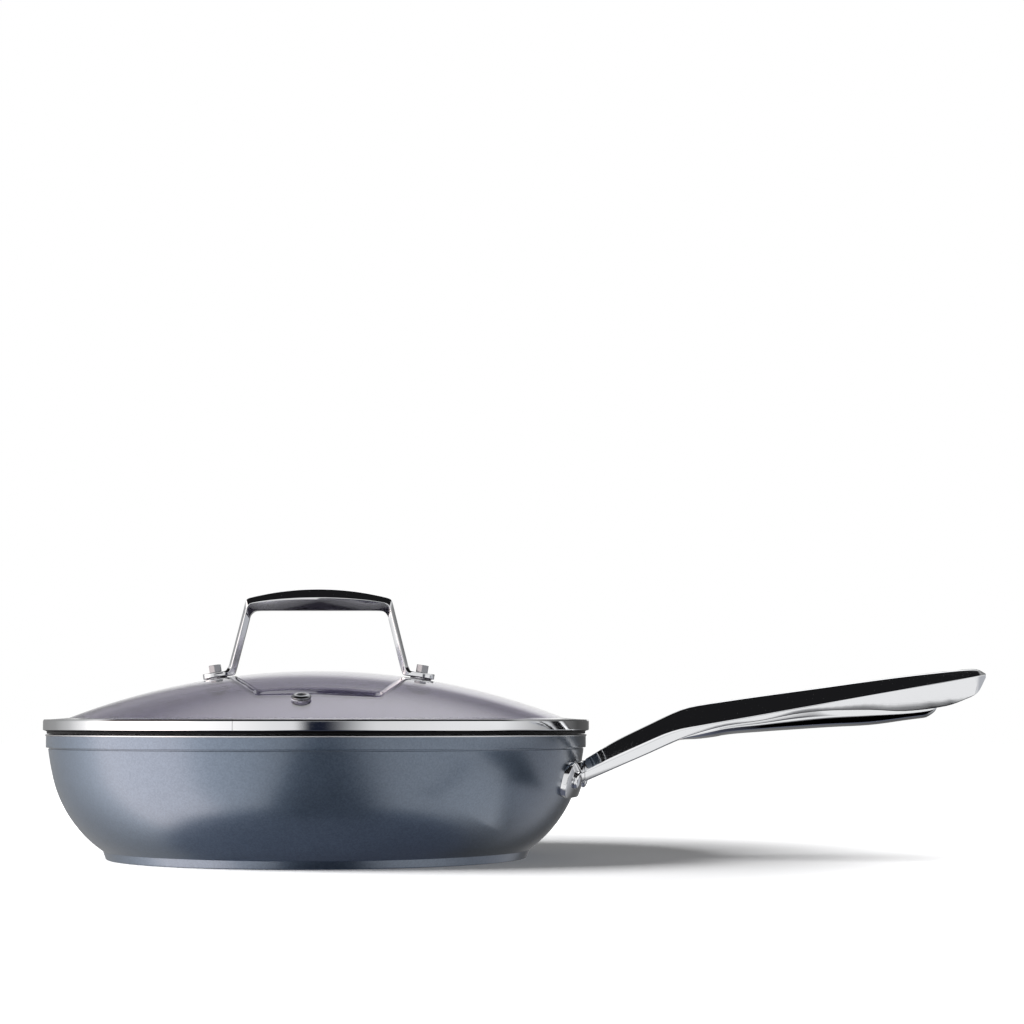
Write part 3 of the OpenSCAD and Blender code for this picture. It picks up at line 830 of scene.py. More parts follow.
@dataclass(frozen=True)
class SiliconeRubber(Finish):
    """Food-grade silicone rubber, moulded under heat.

    It gives a milky, soft surface with a dull sheen and a little mould texture.
    """

    name: str = "milky silicone rubber"
    slot: Slot = Slot.SILICONE
    colour: str = "#D3D1D6"
    shade_colour: str = "#C5C3C9"
    gloss: Point = (0.45, 0.6)
    cloud_size: float = 1.5

    def inputs(self, tree: bpy.types.NodeTree, place: Socket) -> dict[str, Any]:
        """Dull rubber with a fine mould texture.

        Args:
            tree: Tree of the material.
            place: Coordinates of the piece.

        Returns:
            What the shader's inputs are set to or fed by.
        """
        clouds = {"Vector": place, "Scale": per_mm(self.cloud_size), "Detail": 2.0}
        cloud = add_node(tree, "TexNoise", clouds)
        colours = {"Factor": cloud, UNDER: linear(self.shade_colour), OVER: linear(self.colour)}
        return {
            "IOR": 1.41,
            "Base Color": add_node(tree, "Mix", colours, data_type="RGBA"),
            "Roughness": add_node(tree, "MapRange", (cloud, 0, 1, *self.gloss)),
        }


# ---------------------------------------------------------------------------------------------
# The pan


@dataclass(frozen=True)
class Pan:
    """The pressed bowl and the steel plate in its base, on the outline of two tangent arcs."""

    pan_d: float = 286.0
    pan_h: float = 65.0
    wall_t: float = 3.0
    floor_t: float = 4.5
    rim_band_h: float = 6.7
    lip_out: float = 0.4
    lip_h: float = 0.8
    band_out: float = 1.2
    groove_h: float = 0.7
    groove_depth: float = 0.4
    upper_arc_r: float = 142.0
    lower_arc_r: float = 64.4
    arc_lean: float = 13.5
    lower_arc_rise: float = 53.1
    floor_fillet_r: float = 20.0
    foot_h: float = 4.4
    foot_taper: float = 1.6
    foot_ring_w: float = 6.0
    plate_t: float = 1.2
    plate_gap: float = 0.1
    ring_pitch: float = 16.0
    ring_w: float = 2.0
    ring_depth: float = 0.4

    @property
    def band_r(self) -> float:
        """Radius of the band under the lip."""
        return self.pan_d / 2 - self.lip_out

    @property
    def lip_z(self) -> float:
        """Lower level of the lip."""
        return self.pan_h - self.lip_h

    @property
    def band_z(self) -> float:
        """Lower level of the band."""
        return self.lip_z - self.rim_band_h + self.groove_h

    @property
    def groove_z(self) -> float:
        """Lower level of the groove."""
        return self.band_z - self.groove_h

    @property
    def meet_z(self) -> float:
        """Level at which the two arcs meet."""
        lean = math.sin(math.radians(self.arc_lean))
        return self.foot_h + self.lower_arc_rise - self.lower_arc_r * lean

    @property
    def upper_centre(self) -> Point:
        """Centre of the upper arc.

        Returns:
            Its radius and height, in millimetres.
        """
        lean = math.sin(math.radians(self.arc_lean))
        top = math.asin(lean - (self.groove_z - self.meet_z) / self.upper_arc_r)
        wall_top_r = self.band_r - self.band_out
        return (
            wall_top_r - self.upper_arc_r * math.cos(top),
            self.groove_z + self.upper_arc_r * math.sin(top),
        )

    @property
    def lower_centre(self) -> Point:
        """Centre of the lower arc."""
        reach = (self.upper_arc_r - self.lower_arc_r) * math.cos(math.radians(self.arc_lean))
        return (self.upper_centre[0] + reach, self.foot_h + self.lower_arc_rise)

    @property
    def foot_top_r(self) -> float:
        """Radius of the foot where the lower arc ends."""
        drop = self.lower_arc_rise
        return self.lower_centre[0] + math.sqrt(self.lower_arc_r**2 - drop**2)

    def wall_at(self, z: float) -> Point:
        """Reads the wall's outline at a level.

        Args:
            z: The level.

        Returns:
            The radius, and how far the wall leans from upright, in degrees.
        """
        upper = z > self.meet_z
        centre = self.upper_centre if upper else self.lower_centre
        radius = self.upper_arc_r if upper else self.lower_arc_r
        drop = centre[1] - z
        return centre[0] + math.sqrt(radius**2 - drop**2), math.degrees(math.asin(drop / radius))

    def on_wall(self, angle: float, z: float) -> Matrix:
        """Place of a thing that stands square on the wall, with its Z axis outwards.

        Args:
            angle: Angle round the pan, in degrees.
            z: Level on the wall.

        Returns:
            The matrix, in millimetres.
        """
        radius, lean = self.wall_at(z)
        return (
            Matrix.Rotation(math.radians(angle), 4, "Z")
            @ Matrix.Translation((radius, 0, z))
            @ Matrix.Rotation(math.radians(90 + lean), 4, "Y")
        )

    def outside(self) -> list[Point]:
        """Outline of the lacquered outside, from the foot's edge to the top of the band.

        Returns:
            Its points, each a radius and a height.
        """
        foot_r = self.foot_top_r - self.foot_taper
        low = math.degrees(math.asin(-self.lower_arc_rise / self.lower_arc_r))
        _, top_lean = self.wall_at(self.groove_z)
        deep = self.wall_at(self.groove_z)[0] - self.groove_depth
        foot = rounded(
            [
                (foot_r - 1.2, 0, 0),
                (foot_r, 0, 0.9),
                (self.foot_top_r, self.foot_h, 1.0),
                (self.foot_top_r + 4, self.foot_h + 2.73, 0),
            ]
        )
        wall = arc(self.lower_centre, self.lower_arc_r, low + 4.5, -self.arc_lean, 34)
        wall += arc(self.upper_centre, self.upper_arc_r, -self.arc_lean, -top_lean - 0.15, 8)[1:]
        rim = rounded(
            [
                (*wall[-1], 0),
                (self.wall_at(self.groove_z)[0], self.groove_z, 0.25),
                (deep, self.groove_z + 0.05, 0.15),
                (deep, self.band_z, 0.15),
                (self.band_r, self.band_z, 0.35),
                (self.band_r, self.lip_z, 0),
            ]
        )
        return foot[:-1] + wall + rim[1:]

    def inside(self) -> list[Point]:
        """Outline of the coated inside, from the lip down to the middle of the floor.

        Returns:
            Its points, each a radius and a height.
        """
        floor_z = self.plate_t + self.floor_t
        centre, fillet_r = self.lower_centre, self.floor_fillet_r
        reach = self.lower_arc_r - self.wall_t - fillet_r
        level = floor_z + fillet_r
        fillet = (centre[0] + math.sqrt(reach**2 - (centre[1] - level) ** 2), level)
        turn = math.degrees(math.atan2(level - centre[1], fillet[0] - centre[0]))
        upper_r, lower_r = self.upper_arc_r - self.wall_t, self.lower_arc_r - self.wall_t
        lip = math.degrees(math.asin((self.pan_h - 0.6 - self.upper_centre[1]) / upper_r))
        wall = arc(self.upper_centre, upper_r, lip, -self.arc_lean, 12)
        wall += arc(centre, lower_r, -self.arc_lean, turn, 24)[1:]
        wall += arc(fillet, fillet_r, turn, -90, 10)[1:]
        return wall + [(fillet[0] * share, floor_z) for share in (0.66, 0.33, 0)]

    def build_bowl(self) -> None:
        """Builds the bowl: lacquer outside, coating inside, bare lip and base ring."""
        outside, inside = self.outside(), self.inside()
        lip = rounded(
            [
                (*outside[-1], 0),
                (self.pan_d / 2, self.lip_z, 0.18),
                (self.pan_d / 2, self.pan_h, 0.35),
                (inside[0][0], self.pan_h, 0.6),
                (*inside[0], 0),
            ]
        )
        recess_r = self.foot_top_r - self.foot_taper - self.foot_ring_w
        ring = rounded(
            [
                (0, self.plate_t, 0),
                (recess_r, self.plate_t, 0.2),
                (recess_r, 0, 0.3),
                (*outside[0], 0),
            ]
        )
        shape = Shape()
        for outline, finish in ((outside, 0), (inside, 1), (lip, 2), (ring, 2)):
            shape.turn(outline, finish)
        shape.weld()
        shape.shade(40)
        finishes = MetallicLacquer(), NonStickCoating(), BareAluminium()
        finish_piece(shape, "bowl", "pan_body", Body.PAN, *finishes)

    def build_plate(self) -> None:
        """Builds the steel plate in the base, with its pressed rings."""
        plate_r = self.foot_top_r - self.foot_taper - self.foot_ring_w - self.plate_gap
        corners: list[Corner] = [(0, 0, 0)]
        for k in range(1, int((plate_r - self.ring_w) / self.ring_pitch) + 1):
            near = k * self.ring_pitch - self.ring_w / 2
            far = near + self.ring_w
            corners += [
                (near, 0, 0.25),
                (near + 0.2, self.ring_depth, 0.15),
                (far - 0.2, self.ring_depth, 0.15),
                (far, 0, 0.25),
            ]
        corners += [(plate_r, 0, 0.3), (plate_r, self.plate_t, 0.15), (0, self.plate_t, 0)]
        shape = spun(rounded(corners, parts=3), PLATE_STEPS, 40)
        finish_piece(shape, "base_plate", "induction_plate", Body.PAN, TurnedSteel())


@dataclass(frozen=True)
class LongHandle:
    """The flange with its neck, the two hollow shells of the handle, and the two rivets."""

    pan: Pan
    flange_w: float = 64.0
    flange_h: float = 18.0
    flange_t: float = 2.8
    flange_corner_r: float = 8.4
    flange_edge: float = 1.3
    flange_z: float = 42.2
    rivet_spacing: float = 33.6
    rivet_d: float = 5.0
    rivet_head_d: float = 9.4
    rivet_head_h: float = 2.4
    rivet_inner_d: float = 11.0
    rivet_inner_h: float = 1.6
    neck_len: float = 1.4
    neck_in: float = 0.5
    neck_reach: float = 5.0
    stub_len: float = 9.0
    stub_play: float = 0.15
    length: float = 206.49
    root_z: float = 45.9
    arm_angle: float = 24.3
    grip_angle: float = 10.2
    bend_share: float = 0.225
    bend_len: float = 16.0
    shell_t: float = 1.6
    belly_from: float = 0.235
    belly_to: float = 0.878
    # How steeply the lower shell grows at its start, how bluntly it ends, and what share of its
    # width it keeps at both
    belly_growth: float = 7.0
    belly_blunt: float = 24.0
    belly_end_w: float = 0.55
    cavity_to: float = 0.86
    crown: float = 0.5
    eye_d: float = 8.0
    eye_from_tip: float = 15.5
    drill_reach: float = 30.0
    skin_gap: float = 0.05

    # Share of the length, heights of the top edge above the ridge and of the lower edge and the
    # belly below it, half widths at the top edge, the ridge and the lower edge, and the radius
    # of the ridge
    stations = Stations(
        [
            [0.000, 6.7, 5.1, 5.1, 4.5, 7.0, 5.5, 3.0],
            [0.080, 9.0, 5.3, 5.3, 5.2, 7.8, 6.2, 3.0],
            [0.200, 9.9, 5.4, 5.4, 6.6, 10.0, 8.2, 2.4],
            [0.270, 11.3, 3.8, 7.4, 7.2, 11.2, 9.6, 1.4],
            [0.350, 11.0, 2.3, 6.8, 7.6, 12.0, 10.8, 1.0],
            [0.445, 10.3, 2.9, 8.6, 7.9, 12.6, 11.3, 0.8],
            [0.533, 9.5, 2.7, 10.6, 8.0, 13.0, 11.5, 0.8],
            [0.610, 8.8, 3.9, 12.4, 8.0, 13.0, 11.3, 0.8],
            [0.715, 7.9, 7.4, 15.1, 8.0, 12.9, 10.2, 0.8],
            [0.800, 7.0, 11.2, 15.9, 7.7, 12.5, 9.2, 0.8],
            [0.900, 5.6, 12.4, 16.6, 6.8, 11.4, 8.3, 0.8],
            [0.950, 4.7, 10.6, 15.0, 5.7, 9.6, 6.8, 0.8],
            [0.980, 3.5, 8.2, 12.0, 4.2, 7.2, 5.0, 0.8],
            [1.000, 0.6, 1.6, 6.0, 1.8, 3.0, 1.8, 0.8],
        ]
    )

    @property
    def root_r(self) -> float:
        """Distance of the handle's root from the pan's axis."""
        radius, lean = self.pan.wall_at(self.root_z)
        return radius + (self.flange_t + self.neck_len) / math.cos(math.radians(lean))

    def ridge_z(self, distance: float) -> float:
        """Level of the ridge line at a distance from the handle's root.

        Args:
            distance: That distance, along the handle.

        Returns:
            The height above the pan's foot.
        """
        arm, grip = (math.tan(math.radians(a)) for a in (self.arm_angle, self.grip_angle))
        bend = self.bend_share * self.length
        into = min(max(distance - bend + self.bend_len / 2, 0), self.bend_len)
        past = max(distance - bend - self.bend_len / 2, 0)
        turned = into**2 / (2 * self.bend_len) + past
        return self.root_z + arm * distance + (grip - arm) * turned

    def shell_ring(self, share: float, inset: float = 0.0, stretch: float = 0.0) -> list[Vector]:
        """One cross-section of the upper shell.

        Args:
            share: Share of the handle's length.
            inset: How far it is drawn in.
            stretch: How far it is moved along the handle, in millimetres.

        Returns:
            The points of the ring.
        """
        up, low, _, w_top, w_ridge, w_low, ridge_r = self.stations.read(share)
        distance = share * self.length + stretch
        x, z = self.root_r + distance, self.ridge_z(distance)
        top, bottom = z + up - inset, z - low + inset
        w_top = max(w_top - inset * 0.7, 0.4)
        w_ridge = max(w_ridge - inset * 1.15, 0.8)
        w_low = max(w_low - inset, 0.4)
        corners: list[Corner] = [
            (0, top, 0),
            (w_top, top - self.crown, 1.0),
            (w_ridge, z, ridge_r),
            (w_low, bottom, 0.5),
            (0, bottom, 0),
            (-w_low, bottom, 0.5),
            (-w_ridge, z, ridge_r),
            (-w_top, top - self.crown, 1.0),
        ]
        return [Vector((x, y, height)) for y, height in rounded(corners, closed=True)]

    def belly_ring(self, share: float, sides: int = 24) -> list[Vector]:
        """One cross-section of the lower shell, round below and a little into the upper shell.

        Args:
            share: Where it lies along the shell, from 0 to 1.
            sides: How many sides its curve has.

        Returns:
            Its points.
        """
        _, low, belly, _, _, w_low, _ = self.stations.read(share)
        distance = share * self.length
        x, level = self.root_r + distance, self.ridge_z(distance) - low
        end = (share - self.belly_from) / (self.belly_to - self.belly_from)
        rise = min(end * self.belly_growth, (1 - end) * self.belly_blunt)
        nose = min(1.0, math.sqrt(max(0.0, rise)))
        depth = max((belly - low) * nose, 0.3)
        kept = self.belly_end_w + (1 - self.belly_end_w) * nose
        width = max((w_low - 0.5) * kept, 0.4)
        ring = []
        for k in range(sides + 1):
            angle = math.pi * k / sides
            edge = k in (0, sides)
            drop = -1.0 if edge else depth * math.sin(angle) ** 0.8
            ring.append(Vector((x, width * math.cos(angle), level - drop)))
        return ring

    @staticmethod
    def shares(start: float, end: float, steps: int) -> list[float]:
        """Shares from start to end, closer together near both.

        Args:
            start: First share.
            end: Last share.
            steps: How many steps lie between them.

        Returns:
            The shares in order.
        """
        return [
            start + (end - start) * (1 - math.cos(math.pi * k / steps)) / 2
            for k in range(steps + 1)
        ]

    def build_flange(self) -> None:
        """Builds the curved flange with its neck and the stub inside the handle."""
        shape = Shape()
        shape.slab(self.flange_w, self.flange_h, self.flange_corner_r, self.flange_t)
        shape.weld()

        def round_face(edge: bmesh.types.BMEdge) -> bool:
            """Whether an edge runs round the outer face."""
            upper = min(v.co.z for v in edge.verts) > self.flange_t / 2
            return upper and edge.calc_face_angle(0.0) > 1.2

        shape.bevel(filter(round_face, shape.bm.edges), self.flange_edge, 5, "EDGES")

        def onto_wall(point: Vector) -> Vector:
            """Lays a point of the flat flange on the wall.

            Args:
                point: Point of the flat flange.

            Returns:
                Where it comes to lie on the wall.
            """
            level = self.flange_z + point.y
            radius, lean = self.pan.wall_at(level)
            tilt = math.radians(lean)
            out = point.z + self.skin_gap
            reach = radius + out * math.cos(tilt)
            angle = math.asin(point.x / reach)
            return Vector(
                (reach * math.cos(angle), reach * math.sin(angle), level - out * math.sin(tilt))
            )

        shape.warp(onto_wall)
        stub_in = self.shell_t + self.stub_play
        shape.loft(
            [
                self.shell_ring(0, self.neck_in, -self.neck_reach),
                self.shell_ring(0, self.neck_in, -0.3),
                self.shell_ring(0, self.neck_in + 0.3, -self.skin_gap),
                self.shell_ring(0, stub_in, -self.skin_gap),
                self.shell_ring(self.stub_len / self.length, stub_in),
            ]
        )
        shape.weld()
        shape.shade(35)
        finish_piece(shape, "handle_flange", "handle_bracket", Body.PAN, PolishedSteel())

    def build_top_shell(self) -> None:
        """Builds the faceted upper shell with its hollow and the eye in its nose."""
        outer = [self.shell_ring(share) for share in self.shares(0.0, 1.0, 64)][::-1]
        inner = [
            self.shell_ring(share, self.shell_t)
            for share in self.shares(0.0, self.cavity_to, 22)
        ]
        shape = Shape()
        shape.loft(outer + inner)
        shape.weld()
        distance = self.length - self.eye_from_tip
        eye = Matrix.Translation(
            (self.root_r + distance, 0, self.ridge_z(distance))
        ) @ Matrix.Rotation(-math.radians(self.grip_angle), 4, "Y")
        shape.cut(drill(self.eye_d, self.drill_reach, SMALL_STEPS, eye))
        shape.weld()
        shape.shade(24)
        finish_piece(shape, "handle_top_shell", "handle_upper_shell", Body.PAN, LONG_STEEL)

    def build_belly(self) -> None:
        """Builds the rounded lower shell under the grip."""
        shape = Shape()
        shares = self.shares(self.belly_from, self.belly_to, 56)
        shape.loft([self.belly_ring(share) for share in shares])
        shape.weld()
        shape.shade(40)
        finish_piece(shape, "handle_belly", "handle_lower_shell", Body.PAN, LONG_STEEL)

    def build_rivet(self, near: bool) -> None:
        """Builds one rivet, with its outer and inner head.

        Args:
            near: Whether it is the one on the photograph's side.
        """
        angle = math.degrees(
            math.asin(self.rivet_spacing / 2 / self.pan.wall_at(self.flange_z)[0])
        )
        base = self.flange_t + self.skin_gap
        sag = (self.rivet_inner_d / 2) ** 2 / (2 * (self.pan.lower_arc_r - self.pan.wall_t))
        seat = -(self.pan.wall_t + self.skin_gap + sag)
        head_r, inner_r, shank_r = self.rivet_head_d / 2, self.rivet_inner_d / 2, self.rivet_d / 2
        outline = rounded(
            [
                (0, base + self.rivet_head_h, 0),
                (head_r * 0.45, base + self.rivet_head_h * 0.97, 4.0),
                (head_r * 0.86, base + self.rivet_head_h * 0.74, 1.2),
                (head_r, base + self.rivet_head_h * 0.42, 0.6),
                (head_r, base, 0.1),
                (shank_r, base, 0),
                (shank_r, seat, 0),
                (inner_r, seat, 0.1),
                (inner_r, seat - self.rivet_inner_h * 0.35, 0.4),
                (inner_r * 0.6, seat - self.rivet_inner_h * 0.9, 4.0),
                (0, seat - self.rivet_inner_h, 0),
            ]
        )
        place = self.pan.on_wall(-angle if near else angle, self.flange_z)
        shape = spun(outline, SMALL_STEPS, 35, place)
        side = "near" if near else "far"
        finish_piece(shape, f"{side}_rivet", f"rivet_{side}", Body.PAN, PolishedSteel())


# ---------------------------------------------------------------------------------------------
# The lid


@dataclass(frozen=True)
class GlassLid:
    """The glass dome, its rolled steel band and the steam vent."""

    pan: Pan
    dome_r: float = 356.0
    glass_inset: float = 4.1
    glass_t: float = 4.0
    sheet_t: float = 0.8
    bead_out: float = 1.3
    bead_r: float = 3.0
    bead_rise: float = 4.85
    face_low: float = 2.5
    chin_in: float = 0.55
    chin_low: float = 2.95
    brow_in: float = 0.45
    brow_low: float = 0.95
    box_gap: float = 0.03
    neck_inset: float = 0.3
    top_leg_w: float = 10.4
    top_leg_rise: float = 0.6
    shelf_w: float = 6.5
    skirt_h: float = 6.8
    skirt_gap: float = 0.8
    seat_gap: float = 0.3
    lid_turn: float = 8.0
    screw_spacing: float = 109.0
    glass_hole_d: float = 7.0
    vent_r: float = 105.0
    vent_bore_d: float = 4.2
    vent_tube_d: float = 6.0
    vent_ring_d: float = 9.8
    vent_ring_h: float = 2.0
    vent_gasket_t: float = 0.6
    skin_gap: float = 0.05

    @property
    def seat_z(self) -> float:
        """Level of the band's lower face on the rim."""
        return self.pan.pan_h + self.seat_gap

    @property
    def glass_r(self) -> float:
        """Radius of the glass's edge."""
        return self.pan.band_r - self.glass_inset

    @property
    def dome_z(self) -> float:
        """Level of the dome's centre."""
        inner = self.dome_r - self.glass_t
        return self.seat_z + self.sheet_t - math.sqrt(inner**2 - self.glass_r**2)

    @property
    def top_z(self) -> float:
        """Level of the top of the glass."""
        return self.dome_z + self.dome_r

    def dome_at(self, r: float, below: float = 0.0) -> float:
        """Level of the glass's upper face at a radius, or of a face below it."""
        return self.dome_z + math.sqrt((self.dome_r - below) ** 2 - r**2)

    def lean_at(self, r: float) -> float:
        """Lean of the dome at a radius, in degrees."""
        return math.degrees(math.asin(r / self.dome_r))

    def on_dome(self, r: float, angle: float) -> Matrix:
        """Place of a thing that stands square on the glass.

        Args:
            r: Level distance from the lid's middle.
            angle: Angle round the lid, from its handle, in degrees.

        Returns:
            The matrix, in millimetres.
        """
        return (
            Matrix.Rotation(math.radians(self.lid_turn + angle), 4, "Z")
            @ Matrix.Translation((0, 0, self.dome_z))
            @ Matrix.Rotation(math.radians(self.lean_at(r)), 4, "Y")
            @ Matrix.Translation((0, 0, self.dome_r))
        )

    def on_screw(self, side: int) -> Matrix:
        """Place of a screw's axis on the glass, at the right (1) or the left (-1)."""
        return self.on_dome(self.screw_spacing / 2, 0 if side > 0 else 180)

    def on_vent(self) -> Matrix:
        """Place of the vent's axis on the glass."""
        return self.on_dome(self.vent_r, -90)

    def face_angle(self, r: float, below: float = 0.0) -> float:
        """Angle from level, in degrees, at which a face of the dome reaches a radius."""
        return math.degrees(math.acos(r / (self.dome_r - below)))

    def build_glass(self) -> None:
        """Builds the dome with its ground edge and its three holes."""
        edge_r, face_r = self.glass_r, self.glass_r - 0.9
        centre, inner_r = (0.0, self.dome_z), self.dome_r - self.glass_t
        top = arc(centre, self.dome_r, 90, self.face_angle(face_r), 40)
        under = arc(centre, inner_r, self.face_angle(face_r, self.glass_t), 90, 40)
        edge = rounded(
            [
                (*top[-1], 0),
                (edge_r, self.dome_at(edge_r), 0.9),
                (edge_r, self.dome_at(edge_r, self.glass_t), 0.9),
                (*under[0], 0),
            ]
        )
        shape = Shape()
        shape.turn(top + edge[1:-1] + under)
        shape.weld()
        vent_hole_d = self.vent_tube_d + 2 * self.vent_gasket_t + 4 * self.skin_gap
        for place, diameter in (
            (self.on_screw(1), self.glass_hole_d),
            (self.on_screw(-1), self.glass_hole_d),
            (self.on_vent(), vent_hole_d),
        ):
            shape.cut(drill(diameter, 3 * self.glass_t, 48, place))
        shape.weld()
        shape.shade(40)
        finish_piece(shape, "dome_glass", "lid_glass", Body.LID, TintedGlass())

    def band_outline(self) -> list[Point]:
        """Closed outline of the rolled band: face, chin, neck, seat, skirt, shelf and top leg.

        Returns:
            Its points, each a radius and a height.
        """
        bead = (self.pan.pan_d / 2 + self.bead_out - self.bead_r, self.pan.pan_h + self.bead_rise)
        leg_z = bead[1] + self.bead_r
        neck_r = self.pan.band_r - self.neck_inset
        skirt_r = self.pan.wall_at(self.pan.groove_z)[0] - self.pan.wall_t - self.skirt_gap
        sheet, gap = self.sheet_t, self.skin_gap
        slope = self.top_leg_rise / self.top_leg_w
        tip_r = bead[0] - self.top_leg_w + 0.75
        wedge_r = tip_r + 2.2
        shelf_r = self.glass_r - self.shelf_w
        under = self.glass_t + gap
        inner_r = self.bead_r - sheet
        inner_end = -math.degrees(math.acos((neck_r - sheet - bead[0]) / inner_r))
        inner_bead = arc(bead, inner_r, inner_end, 90, 20)
        # The strip is rolled flat on its outside: an upright face with a slant above it, and a
        # chin tucked in below it
        face_r = bead[0] + self.bead_r - self.box_gap
        outer_bead = rounded(
            [
                (bead[0] - 1.0, leg_z, 0),
                (face_r - self.brow_in, leg_z - 0.05, 0.15),
                (face_r, leg_z - self.brow_low, 0.4),
                (face_r, bead[1] - self.face_low, 0.5),
                (neck_r + self.chin_in, bead[1] - self.chin_low, 0.3),
                (neck_r, bead[1] - self.chin_low - 0.35, 0),
            ],
            parts=8,
        )
        foot = rounded(
            [
                (*outer_bead[-1], 0),
                (neck_r, self.seat_z, 0.5),
                (skirt_r, self.seat_z, 0.5),
                (skirt_r, self.seat_z - self.skirt_h, 0.3),
                (skirt_r - sheet, self.seat_z - self.skirt_h, 0.3),
                (skirt_r - sheet, self.dome_at(skirt_r - sheet, under + sheet), 0.8),
                (shelf_r, self.dome_at(shelf_r, under + sheet), 0.3),
                (shelf_r, self.dome_at(shelf_r, under), 0.3),
                (self.glass_r - 0.8, self.dome_at(self.glass_r - 0.8, under), 0),
                (self.glass_r + 0.4, self.seat_z + sheet, 0.3),
                (neck_r - sheet, self.seat_z + sheet, 0.4),
                (*inner_bead[0], 0),
            ]
        )
        leg = rounded(
            [
                (*inner_bead[-1], 0),
                (wedge_r, leg_z - sheet + slope * (bead[0] - wedge_r), 0.4),
                (tip_r, self.dome_at(tip_r) + gap, 0.05),
                (tip_r - 0.05, self.dome_at(tip_r) + 0.3, 0.1),
                (tip_r + 1.6, leg_z + slope * (bead[0] - tip_r - 1.6) + 0.05, 1.2),
                (*outer_bead[0], 0),
            ]
        )
        return outer_bead + foot[1:-1] + inner_bead + leg[1:]

    def build_band(self) -> None:
        """Builds the rolled band round the glass."""
        shape = spun(self.band_outline(), BAND_STEPS, 40)
        # Painted shade: the joint under the face takes near black steel for the gap's shade
        joint_z = self.pan.pan_h + self.bead_rise - self.face_low
        joint_r = self.pan.band_r - self.neck_inset - 0.2
        for face in shape.bm.faces:
            middle = face.calc_center_median()
            if middle.z < joint_z and math.hypot(middle.x, middle.y) > joint_r:
                face.material_index = 1
        finish_piece(shape, "rim_band", "lid_rim_band", Body.LID, SeamedSteel(), PAINTED_SHADE_STEEL)

    def vent_seat(self) -> float:
        """Depth of a flat face under the glass at the vent."""
        sag = (self.vent_ring_d / 2) ** 2 / (2 * (self.dome_r - self.glass_t))
        return self.glass_t + self.skin_gap + sag

    def build_vent_sleeve(self) -> None:
        """Builds the silicone sleeve between the eyelet and the glass."""
        bore = self.vent_tube_d / 2 + self.skin_gap
        wall, flange = bore + self.vent_gasket_t, self.vent_ring_d / 2 - 0.2
        low = -self.vent_seat() - self.vent_gasket_t
        top = self.skin_gap + self.vent_gasket_t
        corners = [
            (bore, low, 0),
            (flange, low, 0.2),
            (flange, low + self.vent_gasket_t, 0.2),
            (wall, low + self.vent_gasket_t, 0),
            (wall, self.skin_gap, 0),
            (flange, self.skin_gap, 0.2),
            (flange, top, 0.2),
            (bore, top, 0),
            (bore, low, 0),
        ]
        shape = spun(rounded(corners), SMALL_STEPS, 35, self.on_vent())
        finish_piece(shape, "steam_sleeve", "vent_gasket", Body.LID, SiliconeRubber())

    def build_vent_ring(self) -> None:
        """Builds the steel eyelet: a domed ring on top, its tube and the flare inside."""
        bore, tube, ring = self.vent_bore_d / 2, self.vent_tube_d / 2, self.vent_ring_d / 2
        base = self.vent_gasket_t + 2 * self.skin_gap
        low = -(self.vent_seat() + self.skin_gap + self.vent_gasket_t)
        flare = 0.8
        corners = [
            (bore, low - flare, 0),
            (ring - 0.5, low - flare, 0.3),
            (ring - 0.5, low, 0.2),
            (tube, low, 0),
            (tube, base, 0),
            (ring, base, 0.15),
            (ring, base + self.vent_ring_h * 0.45, 0.6),
            (ring - 1.2, base + self.vent_ring_h * 0.93, 1.0),
            (bore, base + self.vent_ring_h * 0.93, 0.7),
            (bore, low - flare, 0),
        ]
        shape = spun(rounded(corners), SMALL_STEPS, 35, self.on_vent())
        finish_piece(shape, "steam_ring", "vent_eyelet", Body.LID, FASTENER_STEEL)


